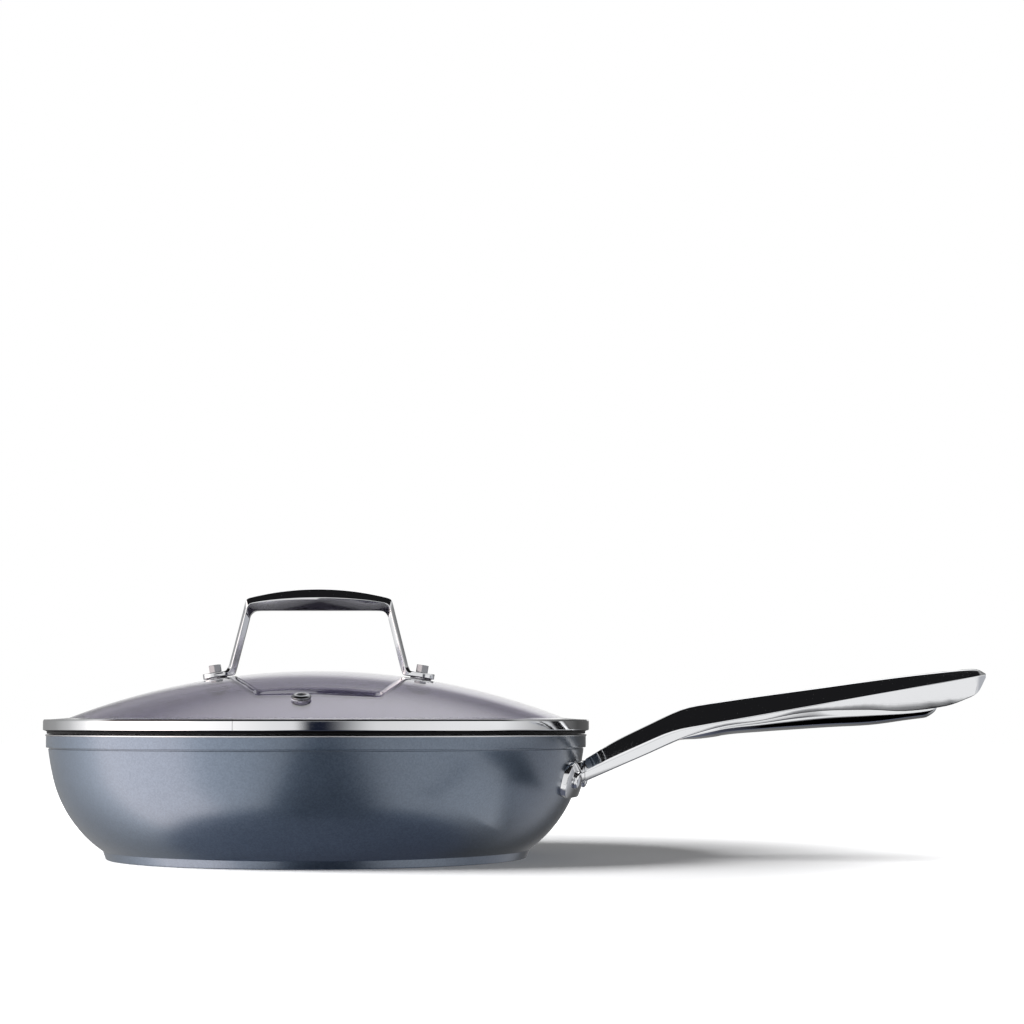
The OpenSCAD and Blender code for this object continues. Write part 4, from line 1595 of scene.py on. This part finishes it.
@dataclass(frozen=True)
class BowHandle:
    """The forged bow on two flat feet, with all that holds it to the glass."""

    lid: GlassLid
    bow_h: float = 43.7
    grip_t: float = 11.3
    grip_arc_r: float = 150.0
    corner_x: float = 39.2
    leg_t: float = 4.4
    inner_corner_r: float = 5.0
    pad_t: float = 2.8
    pad_w: float = 12.0
    pad_len: float = 7.0
    grip_w: float = 15.0
    leg_w: float = 11.0
    ridge_drop: float = 0.42
    screw_d: float = 4.0
    screw_head_d: float = 8.0
    screw_head_h: float = 1.8
    nut_af: float = 6.2
    nut_h: float = 4.0
    foot_gasket_d: float = 11.4
    foot_gasket_t: float = 0.7
    inner_gasket_d: float = 13.2
    inner_gasket_t: float = 1.2
    washer_d: float = 11.4
    washer_t: float = 0.8
    screw_gap: float = 0.15
    skin_gap: float = 0.05

    @property
    def pad_top(self) -> float:
        """Height of a foot's upper face above the glass."""
        return self.foot_gasket_t + self.pad_t

    @property
    def inner_seat(self) -> float:
        """Depth of the inner gasket's upper face below the top of the glass."""
        lid = self.lid
        sag = (self.inner_gasket_d / 2) ** 2 / (2 * (lid.dome_r - lid.glass_t))
        return lid.glass_t + self.skin_gap + sag

    @property
    def washer_z(self) -> float:
        """Level of the washer's upper face, from the top of the glass."""
        return -self.inner_seat - self.inner_gasket_t - self.skin_gap

    @property
    def nut_z(self) -> float:
        """Level of the nut's lower face, from the top of the glass."""
        return self.pad_top + self.skin_gap

    def foot_point(self, along: float, up: float) -> Vector:
        """A point beside a foot.

        Args:
            along: Distance along the foot, outwards from the screw.
            up: Height above the glass.

        Returns:
            The point, as the level distance from the middle and the level.
        """
        half = self.lid.screw_spacing / 2
        lean = math.radians(self.lid.lean_at(half))
        return Vector(
            (
                half + along * math.cos(lean) + up * math.sin(lean),
                self.lid.dome_at(half) - along * math.sin(lean) + up * math.cos(lean),
            )
        )

    def grip_top(self, x: float) -> float:
        """Level of the grip's upper arc."""
        top = self.lid.top_z + self.bow_h
        return top - self.grip_arc_r + math.sqrt(self.grip_arc_r**2 - x * x)

    def rows(self) -> list[list[float]]:
        """Stations from a foot's round end to the middle of the grip.

        Returns:
            Rows of the distance along the bow, the outer point, the inner point, the half widths
            at the outer face, the ridge and the inner face, and the radius of the ridge.
        """
        low, top = self.foot_gasket_t, self.pad_top
        end_r = self.pad_w / 2
        foot = self.foot_point(-6.6, top)
        head = Vector((self.corner_x, self.grip_top(self.corner_x) - 1.2))
        under_z = self.lid.top_z + self.bow_h - self.grip_t
        level_z = under_z - self.inner_corner_r
        level_share = (level_z - foot.y) / (head.y - foot.y)
        leg = head - foot
        step = Vector((self.leg_t, 0))
        bend_x = (foot + leg * level_share - step).x - self.inner_corner_r
        bend = Vector((bend_x, level_z))

        def corner(angle: float) -> Vector:
            """A point of the round inner corner."""
            turn = math.radians(angle)
            return bend + self.inner_corner_r * Vector((math.cos(turn), math.sin(turn)))

        rows: list[tuple[Vector, Vector, float, float, float, float]] = []
        w = self.leg_w

        def add(
            outer: Vector, inner: Vector, out_share: float, in_share: float, ridge_r: float
        ) -> None:
            """Adds a station of the leg, with its face widths as shares of its width."""
            rows.append((outer, inner, w * out_share, w * 0.5, w * in_share, ridge_r))

        for angle in (86, 74, 60, 46, 32, 18, 6):
            turn = math.radians(angle)
            along = self.pad_len - end_r + end_r * math.sin(turn)
            half_w = end_r * math.cos(turn)
            points = self.foot_point(along, top), self.foot_point(along, low)
            rows.append((*points, half_w, half_w, half_w, 0.3))
        shoulder = Vector((self.corner_x - 0.6, self.grip_top(self.corner_x) - 0.3))
        knee = Vector((self.corner_x - 2.6, self.grip_top(self.corner_x - 2.6)))
        add(self.foot_point(-5.0, top), self.foot_point(-6.5, low), 0.5, 0.5, 0.3)
        add(self.foot_point(-6.2, top + 0.5), self.foot_point(-9.0, low), 0.38, 0.42, 0.5)
        add(foot + leg * 0.07, self.foot_point(-10.3, low + 1.2), 0.24, 0.30, 0.6)
        add(foot + leg * 0.14, foot + leg * 0.12 - step, 0.18, 0.20, 0.6)
        add(foot + leg * 0.55, foot + leg * 0.50 - step, 0.17, 0.18, 0.6)
        add(foot + leg * 0.90, corner(0), 0.20, 0.18, 0.6)
        add(foot + leg * 0.97, corner(25), 0.26, 0.24, 0.7)
        add(shoulder, corner(50), 0.32, 0.32, 0.8)
        add(knee, corner(72), 0.36, 0.36, 0.8)
        for k in range(1, 6):
            share = k / 5
            x = self.corner_x * (1 - share) * 0.86
            rows.append(
                (
                    Vector((x, self.grip_top(x))),
                    Vector((min(x, bend_x), under_z)),
                    self.grip_w * 0.27,
                    self.grip_w * (0.37 + 0.13 * share),
                    self.grip_w * (0.28 + 0.02 * share),
                    0.8 + 1.6 * share,
                )
            )
        table: list[list[float]] = []
        travelled = 0.0
        for k, row in enumerate(rows):
            if k:
                travelled += ((row[0] + row[1]) / 2 - (rows[k - 1][0] + rows[k - 1][1]) / 2).length
            table.append([travelled, *row[0], *row[1], *row[2:]])
        return table

    def ring(self, row: Sequence[float], side: int) -> list[Vector]:
        """One cross-section of the bow.

        Args:
            row: Outer point, inner point, three half widths and the ridge's radius.
            side: Right (1) or left (-1) half of the bow.

        Returns:
            The points of the ring.
        """
        outer, inner = Vector(row[0:2]), Vector(row[2:4])
        w_out, w_ridge, w_in, ridge_r = row[4:8]
        across = inner - outer
        depth = across.length
        corners: list[Corner] = [
            (w_out, 0, 0.5),
            (w_ridge, depth * self.ridge_drop, ridge_r),
            (w_in, depth, 0.6),
            (-w_in, depth, 0.6),
            (-w_ridge, depth * self.ridge_drop, ridge_r),
            (-w_out, 0, 0.5),
        ]
        ring = []
        for y, down in rounded(corners, closed=True, parts=5):
            spot = outer + across * (down / depth)
            ring.append(Vector((side * spot.x, y, spot.y)))
        return ring

    def build_bow(self) -> None:
        """Builds the bow from foot to foot."""
        table = self.rows()
        stations = Stations(table)
        places: list[float] = []
        for before, after in zip(table, table[1:]):
            parts = max(2, math.ceil((after[0] - before[0]) / 1.3))
            places += [before[0] + (after[0] - before[0]) * k / parts for k in range(parts)]
        places.append(table[-1][0])
        half = [stations.read(place) for place in places]
        left = [self.ring(row, -1) for row in half]
        right = [self.ring(row, 1) for row in half[:-1]]
        shape = Shape()
        shape.loft(left + right[::-1])
        shape.weld()
        shape.place(Matrix.Rotation(math.radians(self.lid.lid_turn), 4, "Z"))
        shape.shade(26)
        finish_piece(shape, "lid_bow", "lid_handle", Body.LID, LONG_STEEL)

    def turned_piece(
        self, corners: Sequence[Corner], side: int, name: str, node: str, finish: Finish
    ) -> None:
        """Builds a turned piece on a screw's axis.

        Args:
            corners: Outline (radius, height, corner radius) above the glass.
            side: Right (1) or left (-1) screw.
            name: Name of the piece, without its side.
            node: Name of the node, without its side.
            finish: Its finish.
        """
        label = "right" if side > 0 else "left"
        shape = spun(rounded(corners), SMALL_STEPS, 35, self.lid.on_screw(side))
        finish_piece(shape, f"{label}_{name}", f"{node}_{label}", Body.LID, finish)

    def build_gaskets(self, side: int) -> None:
        """Builds the gasket under a foot and the one inside the lid.

        Args:
            side: 1 for the right foot, -1 for the left one.
        """
        bore = self.screw_d / 2 + self.screw_gap
        low, high = self.skin_gap, self.foot_gasket_t - self.skin_gap
        outer = self.foot_gasket_d / 2
        flat: list[Corner] = [
            (bore, low, 0),
            (outer, low, 0.15),
            (outer, high, 0.15),
            (bore, high, 0),
            (bore, low, 0),
        ]
        seat = -self.inner_seat
        under, outer = seat - self.inner_gasket_t, self.inner_gasket_d / 2
        sleeve = self.lid.glass_hole_d / 2 - self.skin_gap
        stepped: list[Corner] = [
            (bore, under, 0),
            (outer, under, 0.4),
            (outer, seat, 0.4),
            (sleeve, seat, 0),
            (sleeve, 0, 0.1),
            (bore, 0, 0),
            (bore, under, 0),
        ]
        self.turned_piece(flat, side, "foot_seal", "foot_gasket", SiliconeRubber())
        self.turned_piece(stepped, side, "inner_seal", "inner_gasket", SiliconeRubber())

    def build_washer(self, side: int) -> None:
        """Builds the steel washer inside the lid.

        Args:
            side: 1 for the right foot, -1 for the left one.
        """
        bore, outer = self.screw_d / 2 + self.screw_gap, self.washer_d / 2
        low = self.washer_z - self.washer_t
        corners = [
            (bore, low, 0),
            (outer, low, 0.25),
            (outer, self.washer_z, 0.15),
            (bore, self.washer_z, 0),
            (bore, low, 0),
        ]
        self.turned_piece(corners, side, "plain_washer", "inner_washer", PolishedSteel())

    def build_screw(self, side: int) -> None:
        """Builds the screw, with its low domed head inside the lid.

        Args:
            side: 1 for the right foot, -1 for the left one.
        """
        head_z = self.washer_z - self.washer_t - self.skin_gap
        head_r, shank = self.screw_head_d / 2, self.screw_d / 2
        end = self.nut_z + self.nut_h * 0.8
        corners = [
            (0, head_z - self.screw_head_h, 0),
            (head_r * 0.55, head_z - self.screw_head_h * 0.92, 3.0),
            (head_r, head_z - self.screw_head_h * 0.4, 0.5),
            (head_r, head_z, 0.15),
            (shank, head_z, 0),
            (shank, end, 0.3),
            (0, end, 0),
        ]
        self.turned_piece(corners, side, "lid_screw_body", "lid_screw", FASTENER_STEEL)

    def build_nut(self, side: int) -> None:
        """Builds the hexagon nut, with its chamfered corners.

        Args:
            side: 1 for the right foot, -1 for the left one.
        """
        flat, corner = self.nut_af / 2, self.nut_af / math.sqrt(3)
        edge_r = corner - 0.4
        slope = (self.nut_h + 0.4) / self.nut_h

        def hexagon(angle: float) -> float:
            """Radius of the hexagon, with its corners eased, at an angle in degrees."""
            turn = (angle + 30) % 60 - 30
            return min(flat / math.cos(math.radians(turn)), corner - 0.05)

        def ring(
            radius: Callable[[float], float], level: Callable[[float], float]
        ) -> list[Vector]:
            """A ring whose radius and level follow the angle.

            Args:
                radius: Gives the radius at an angle in degrees.
                level: Gives the level at an angle in degrees.

            Returns:
                The ring's points.
            """
            spots = []
            for k in range(NUT_STEPS):
                angle = 360 * k / NUT_STEPS
                turn, r = math.radians(angle), radius(angle)
                spots.append(Vector((r * math.cos(turn), r * math.sin(turn), level(angle))))
            return spots

        def shoulder(angle: float) -> float:
            """Level at which the chamfer meets the hexagon."""
            return self.nut_h - max(0.06, (hexagon(angle) - edge_r) / slope)

        rings = [
            ring(lambda a: hexagon(a) - 0.15, lambda a: 0.0),
            ring(hexagon, lambda a: 0.15),
            ring(hexagon, lambda a: shoulder(a) - 0.05),
            ring(lambda a: hexagon(a) - 0.04, shoulder),
            ring(lambda a: edge_r - 0.06, lambda a: self.nut_h - 0.02),
            ring(lambda a: edge_r - 0.2, lambda a: self.nut_h),
        ]
        label = "right" if side > 0 else "left"
        shape = Shape()
        shape.loft(rings)
        shape.weld()
        shape.place(self.lid.on_screw(side) @ Matrix.Translation((0, 0, self.nut_z)))
        shape.shade(25)
        finish_piece(shape, f"{label}_nut", f"hex_nut_{label}", Body.LID, FASTENER_STEEL)


# ---------------------------------------------------------------------------------------------
# The studio


class Measure(Enum):
    """What a direction into the surround is measured by."""

    HEIGHT = "degrees above level"
    AZIMUTH = "degrees round the pan, from the camera to its right"
    FIGURE_LEFT = "azimuth, moved aside below the figure's waist for its left edge"
    FIGURE_RIGHT = "azimuth, moved aside below the figure's waist for its right edge"
    FRONT = "how straight it points to the camera, from -1 to 1"
    WINDOW = "degrees from the middle of the window"
    BACKDROP = "degrees from the middle of the backdrop"


@dataclass(frozen=True)
class Patch:
    """A part of the surround that the metal mirrors.

    Each edge is a measure with two values: the patch starts at the first and is full at the
    second.
    """

    colour: Colour
    edges: tuple[tuple[Measure, float, float], ...]


@dataclass(frozen=True)
class Card:
    """A white card on the floor in front of the long handle, in metres.

    Only the metal and the lacquer mirror it. Its far part is left dark for the handle's belly,
    and it ends nearer to the handle under the bend, so that the belly's start is dark.
    """

    near_left: Point = (0.12, -0.6)
    far_right: Point = (0.6, 0.03)
    level: float = 0.95
    # Edge of the white at the grip's foot and at its nose, and the places between which it
    # runs aslant
    edge: Point = (-0.052, -0.125)
    slant: Point = (0.256, 0.35)
    # How far the edge is bent outwards past the nose, and where
    nose_bend: float = 0.06
    nose: Point = (0.39, 0.48)
    edge_fade: float = 0.012
    # Where the white under the bend starts, near the camera or past the bend
    bend_near: Point = (-0.15, -0.115)
    bend_past: Point = (0.25, 0.29)
    # Ends of the dark part
    dark_from: Point = (0.2, 0.24)
    dark_to: Point = (0.47, 0.43)


@dataclass(frozen=True)
class Studio:
    """A pale floor, a white surround with dark gaps for the metal, soft light and the camera."""

    photo_turn: float = 8.0
    camera_place: tuple[float, float, float] = (103.3, -1280.0, 72.0)
    camera_pitch: float = 4.998
    lens: float = 84.0
    sensor_w: float = 36.0
    clip: Point = (0.05, 50.0)
    floor_half: float = 6.0
    floor_colour: str = "#E6E6E7"
    floor_gloss: float = 0.9
    # The floor rises to pure white between two distances from the pan, in metres
    glow_reach: Point = (0.24, 0.42)
    glow_levels: Point = (0.08, 0.9)
    matt_level: float = 0.16
    lamp_power: float = 78.0
    lamp_size: float = 1.2
    lamp_place: tuple[float, float, float] = (-1.38, -0.62, 1.0)
    card: Card = Card()
    # Brightness of the walls round the pan that the metal mirrors, by azimuth in degrees: 0 is
    # behind the camera, 90 at its right. A softbox at the left, a white sweep at the right, and
    # grey towards the back
    walls: tuple[Point, ...] = (
        *((-180, 0.28), (-150, 0.3), (-135, 0.36), (-120, 0.6), (-106, 1.15), (-96, 2.3)),
        *((-58, 2.3), (-46, 1.3), (-30, 1.1), (-15, 0.9), (0, 0.8), (31, 0.8), (60, 0.92)),
        *((85, 0.95), (100, 0.66), (111, 0.44), (128, 0.19), (145, 0.08), (165, 0.11)),
        (180, 0.28),
    )
    wall_peak: float = 2.3
    warmth: float = 0.14
    figure_waist: float = -5.0
    figure_spread: float = -0.45
    # Azimuth and height of the middle of the window and of the backdrop
    window: Point = (168.0, 55.0)
    backdrop: Point = (180.0, 5.0)
    # What lies over the walls, from the first layer to the last
    patches: tuple[Patch, ...] = (
        # A pale panel low at the right, which lights the lacquer but not the upright steel
        Patch(
            (0.5, 0.51, 0.54, 1),
            (
                (Measure.HEIGHT, -1, -9),
                (Measure.HEIGHT, -48, -24),
                (Measure.AZIMUTH, 55, 90),
                (Measure.AZIMUTH, 158, 138),
            ),
        ),
        # The dim floor near the pan
        Patch((0.12, 0.13, 0.17, 1), ((Measure.HEIGHT, -46, -54),)),
        # A dark figure behind the camera up to its level, wider lower down
        Patch(
            (0.012, 0.015, 0.028, 1),
            (
                (Measure.FIGURE_LEFT, -6, 2),
                (Measure.FIGURE_RIGHT, 30, 6),
                (Measure.HEIGHT, 6, 2),
                (Measure.HEIGHT, -66, -56),
            ),
        ),
        # An overhead light, and a dark gap above the walls in front
        Patch((1.1, 1.1, 1.12, 1), ((Measure.HEIGHT, 70, 76),)),
        Patch(
            (0.012, 0.012, 0.013, 1),
            ((Measure.HEIGHT, 23, 28), (Measure.FRONT, -0.35, -0.15)),
        ),
        # A window high up behind the pan, which only the glass mirrors towards the camera
        Patch((2, 2, 2, 1), ((Measure.WINDOW, 35, 6),)),
        # The white backdrop, which the rounding of the glass mirrors at its outline
        Patch((1, 1, 1, 1), ((Measure.BACKDROP, 14, 7), (Measure.HEIGHT, 1, 3))),
    )

    def build_camera(self) -> None:
        """Stands the camera where the photograph was taken from."""
        data = bpy.data.cameras.new("camera")
        data.lens, data.sensor_width = self.lens, self.sensor_w
        data.clip_start, data.clip_end = self.clip
        camera = link("camera", data)
        turn = math.radians(self.photo_turn)
        spot = Matrix.Rotation(turn, 4, "Z") @ Vector(self.camera_place)
        camera.location = spot * MM
        camera.rotation_euler = (math.radians(90 + self.camera_pitch), 0, turn)
        bpy.context.scene.camera = camera

    @staticmethod
    def lay_sheet(
        name: str, near_left: Point, far_right: Point, level: float = 0.0
    ) -> bpy.types.Object:
        """Lays a flat sheet.

        Args:
            name: Its name.
            near_left: One corner, in metres.
            far_right: The corner across from it.
            level: Its level.

        Returns:
            The sheet.
        """
        (left, near), (right, far) = near_left, far_right
        middle = ((left + right) / 2, (near + far) / 2, level)
        shape = Shape()
        bmesh.ops.create_grid(shape.bm, x_segments=1, y_segments=1, size=0.5)
        bmesh.ops.scale(shape.bm, vec=(right - left, far - near, 1), verts=shape.bm.verts)
        bmesh.ops.translate(shape.bm, vec=middle, verts=shape.bm.verts)
        sheet = shape.as_object(name)
        shape.bm.free()
        return sheet

    @staticmethod
    def dress_sheet(
        sheet: bpy.types.Object, name: str, colour: Colour
    ) -> tuple[bpy.types.NodeTree, bpy.types.Node]:
        """Gives a sheet a matt material that can glow.

        Args:
            sheet: The sheet.
            name: Name of the material.
            colour: What it sends back of the light.

        Returns:
            Its node tree and its shader.
        """
        material = bpy.data.materials.new(name)
        material.use_nodes = True
        sheet.data.materials.append(material)
        tree = material.node_tree
        shader = tree.nodes["Principled BSDF"]
        matt = {"Base Color": colour, "Specular IOR Level": 0.0, "Emission Color": grey(1)}
        feed(tree, shader, matt)
        return tree, shader

    def build_floor(self) -> None:
        """Lays the floor: paper that is white to the camera and keeps the object's shadow."""
        half = self.floor_half
        floor = self.lay_sheet("floor", (-half, -half), (half, half))
        # Matt white paper from a roll, pressed without a gloss, which gives an even white; the
        # glow is only for the eye and for glass
        tree, shader = self.dress_sheet(floor, "matt white paper", linear(self.floor_colour))
        path = add_node(tree, "LightPath").outputs
        rays = path["Is Camera Ray"], path["Is Transmission Ray"]
        seen = add_node(tree, "Math", rays, operation="MAXIMUM")
        # The paper rises to pure white away from the pan, so that its far edge doesn't show
        place = add_node(tree, "TexCoord").outputs["Object"]
        away = add_node(tree, "VectorMath", (place,), operation="LENGTH")
        slope = (away, *self.glow_reach, *self.glow_levels)
        level = add_node(tree, "MapRange", slope, interpolation_type="SMOOTHSTEP")
        glow = add_node(tree, "Math", (seen, level), operation="MULTIPLY")
        feed(tree, shader, {"Roughness": self.floor_gloss, "Emission Strength": glow})
        floor.visible_glossy = False

    def build_card(self) -> None:
        """Lays a white card before the long handle, which only shows in what mirrors it."""
        plan = self.card
        card = self.lay_sheet("white card", plan.near_left, plan.far_right, MM)
        # White card, coated and evenly lit, which gives the metal a plain pale reflection
        tree, shader = self.dress_sheet(card, "lit white card", (0, 0, 0, 1))
        place = add_node(tree, "TexCoord").outputs["Object"]
        x, y, _ = add_node(tree, "SeparateXYZ", (place,)).outputs
        slant = add_node(tree, "MapRange", (x, *plan.slant, *plan.edge))
        bend = add_node(tree, "MapRange", (x, *plan.nose, 0, plan.nose_bend))
        edge = add_node(tree, "Math", (slant, bend), operation="ADD")
        past = add_node(tree, "Math", (y, edge), operation="SUBTRACT")
        white = add_node(tree, "MapRange", (past, plan.edge_fade, -plan.edge_fade))
        near = add_node(tree, "MapRange", (y, *plan.bend_near))
        beyond = add_node(tree, "MapRange", (x, *plan.bend_past))
        short = add_node(tree, "Math", (near, beyond), operation="MAXIMUM")
        lit = add_node(tree, "Math", (white, short), operation="MULTIPLY")
        level = add_node(tree, "Math", (lit, plan.level), operation="MULTIPLY")
        feed(tree, shader, {"Emission Strength": level})
        dark = add_node(tree, "Math", (1.0, white), operation="SUBTRACT")
        for limits in (plan.dark_from, plan.dark_to):
            share = add_node(tree, "MapRange", (x, *limits))
            dark = add_node(tree, "Math", (dark, share), operation="MULTIPLY")
        cover = add_node(tree, "Math", (lit, dark), operation="MAXIMUM")
        clear = add_node(tree, "BsdfTransparent")
        solid = add_node(tree, "MixShader", (cover, clear, shader))
        feed(tree, tree.nodes["Material Output"], {"Surface": solid})
        card.visible_camera = False
        card.visible_diffuse = False
        card.visible_transmission = False
        card.visible_shadow = False

    def paint_walls(self, tree: bpy.types.NodeTree, azimuth: bpy.types.Node) -> bpy.types.Node:
        """Paints the walls round the pan.

        Args:
            tree: Tree of the surround.
            azimuth: Azimuth of a direction, in degrees.

        Returns:
            The node that gives their colour.
        """
        turn = add_node(tree, "MapRange", (azimuth, -180, 180))
        ramp = add_node(tree, "ValToRGB", {"Fac": turn})
        stops = ramp.color_ramp.elements
        while len(stops) < len(self.walls):
            stops.new(0.5)
        for stop, (angle, level) in zip(stops, self.walls):
            stop.position = (angle + 180) / 360
            # The softbox is a little warmer than the walls
            warmth = self.warmth * max(0.0, level - 1) / (self.wall_peak - 1)
            tints = [1 - warmth * share for share in (0, 0.7, 1)]
            stop.color = [level / self.wall_peak * tint for tint in tints] + [1]
        colours = {"Factor": 1.0, UNDER: ramp.outputs["Color"], OVER: grey(self.wall_peak)}
        return add_node(tree, "Mix", colours, data_type="RGBA", blend_type="MULTIPLY")

    def measure(self, tree: bpy.types.NodeTree) -> dict[Measure, bpy.types.Node]:
        """Adds the nodes that measure a direction into the surround.

        Args:
            tree: Tree of the surround.

        Returns:
            A node for each measure. Nearness to a middle comes as a cosine.
        """
        place = add_node(tree, "TexCoord").outputs["Generated"]
        back = (0, 0, -math.radians(self.photo_turn))
        ray = add_node(tree, "Mapping", {"Vector": place, "Rotation": back})
        x, y, z = add_node(tree, "SeparateXYZ", (ray,)).outputs
        front = add_node(tree, "Math", (y, -1.0), operation="MULTIPLY")
        around = add_node(tree, "Math", (x, front), operation="ARCTAN2")
        above = add_node(tree, "Math", (z,), operation="ARCSINE")
        azimuth = add_node(tree, "Math", (around,), operation="DEGREES")
        height = add_node(tree, "Math", (above,), operation="DEGREES")
        lower = add_node(tree, "Math", (height, self.figure_waist), operation="SUBTRACT")
        lower = add_node(tree, "Math", (lower, self.figure_spread), operation="MULTIPLY")
        lower = add_node(tree, "Math", (lower, 0.0), operation="MAXIMUM")
        found = {
            Measure.HEIGHT: height,
            Measure.AZIMUTH: azimuth,
            Measure.FIGURE_LEFT: add_node(tree, "Math", (azimuth, lower), operation="ADD"),
            Measure.FIGURE_RIGHT: add_node(tree, "Math", (azimuth, lower), operation="SUBTRACT"),
            Measure.FRONT: front,
        }
        for name, middle in ((Measure.WINDOW, self.window), (Measure.BACKDROP, self.backdrop)):
            turn, up = (math.radians(angle) for angle in middle)
            level = math.cos(up)
            toward = (math.sin(turn) * level, -math.cos(turn) * level, math.sin(up))
            found[name] = add_node(tree, "VectorMath", (ray, toward), operation="DOT_PRODUCT")
        return found

    def build_surround(self) -> None:
        """Sets the world: white to the eye, a soft level for matt things, a studio for metal."""
        world = bpy.data.worlds.new("studio surround")
        bpy.context.scene.world = world
        world.use_nodes = True
        world.cycles.sampling_method = "NONE"
        tree = world.node_tree
        found = self.measure(tree)
        sky = self.paint_walls(tree, found[Measure.AZIMUTH])
        for patch in self.patches:
            share: Any = None
            for name, start, full in patch.edges:
                if name in (Measure.WINDOW, Measure.BACKDROP):
                    start, full = math.cos(math.radians(start)), math.cos(math.radians(full))
                slope = (found[name], start, full)
                step = add_node(tree, "MapRange", slope, interpolation_type="SMOOTHSTEP")
                if share is not None:
                    step = add_node(tree, "Math", (share, step), operation="MULTIPLY")
                share = step
            layers = {"Factor": share, UNDER: sky, OVER: patch.colour}
            sky = add_node(tree, "Mix", layers, data_type="RGBA")
        path = add_node(tree, "LightPath").outputs
        layers = {"Factor": path["Is Glossy Ray"], UNDER: grey(self.matt_level), OVER: sky}
        light = add_node(tree, "Mix", layers, data_type="RGBA")
        rays = path["Is Camera Ray"], path["Is Transmission Ray"]
        seen = add_node(tree, "Math", rays, operation="MAXIMUM")
        layers = {"Factor": seen, UNDER: light, OVER: grey(1)}
        light = add_node(tree, "Mix", layers, data_type="RGBA")
        feed(tree, tree.nodes["Background"], {"Color": light})

    def build_lamps(self) -> None:
        """Hangs one soft lamp up at the left, for the shadows; the metal doesn't mirror it."""
        data = bpy.data.lights.new("overhead softbox", "AREA")
        data.shape, data.size, data.size_y = "RECTANGLE", self.lamp_size, self.lamp_size
        data.energy = self.lamp_power
        lamp = link("overhead softbox", data)
        lamp.location = self.lamp_place
        lamp.rotation_euler = (-Vector(self.lamp_place)).to_track_quat("-Z", "Y").to_euler()
        lamp.visible_glossy = False
        lamp.visible_camera = False
        lamp.visible_transmission = False


def main() -> None:
    """Builds every piece, the studio and the camera."""
    logging.basicConfig(level=logging.INFO, format="%(name)s: %(message)s")
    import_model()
    pan = Pan()
    pan.build_bowl()
    pan.build_plate()
    handle = LongHandle(pan)
    handle.build_flange()
    handle.build_top_shell()
    handle.build_belly()
    for near in (True, False):
        handle.build_rivet(near)
    lid = GlassLid(pan)
    lid.build_glass()
    lid.build_band()
    lid.build_vent_sleeve()
    lid.build_vent_ring()
    bow = BowHandle(lid)
    bow.build_bow()
    for side in (-1, 1):
        bow.build_gaskets(side)
        bow.build_washer(side)
        bow.build_screw(side)
        bow.build_nut(side)
    studio = Studio()
    studio.build_floor()
    studio.build_card()
    studio.build_surround()
    studio.build_lamps()
    studio.build_camera()
    bpy.context.scene.view_settings.view_transform = "Standard"


if __name__ == "__main__":
    main()
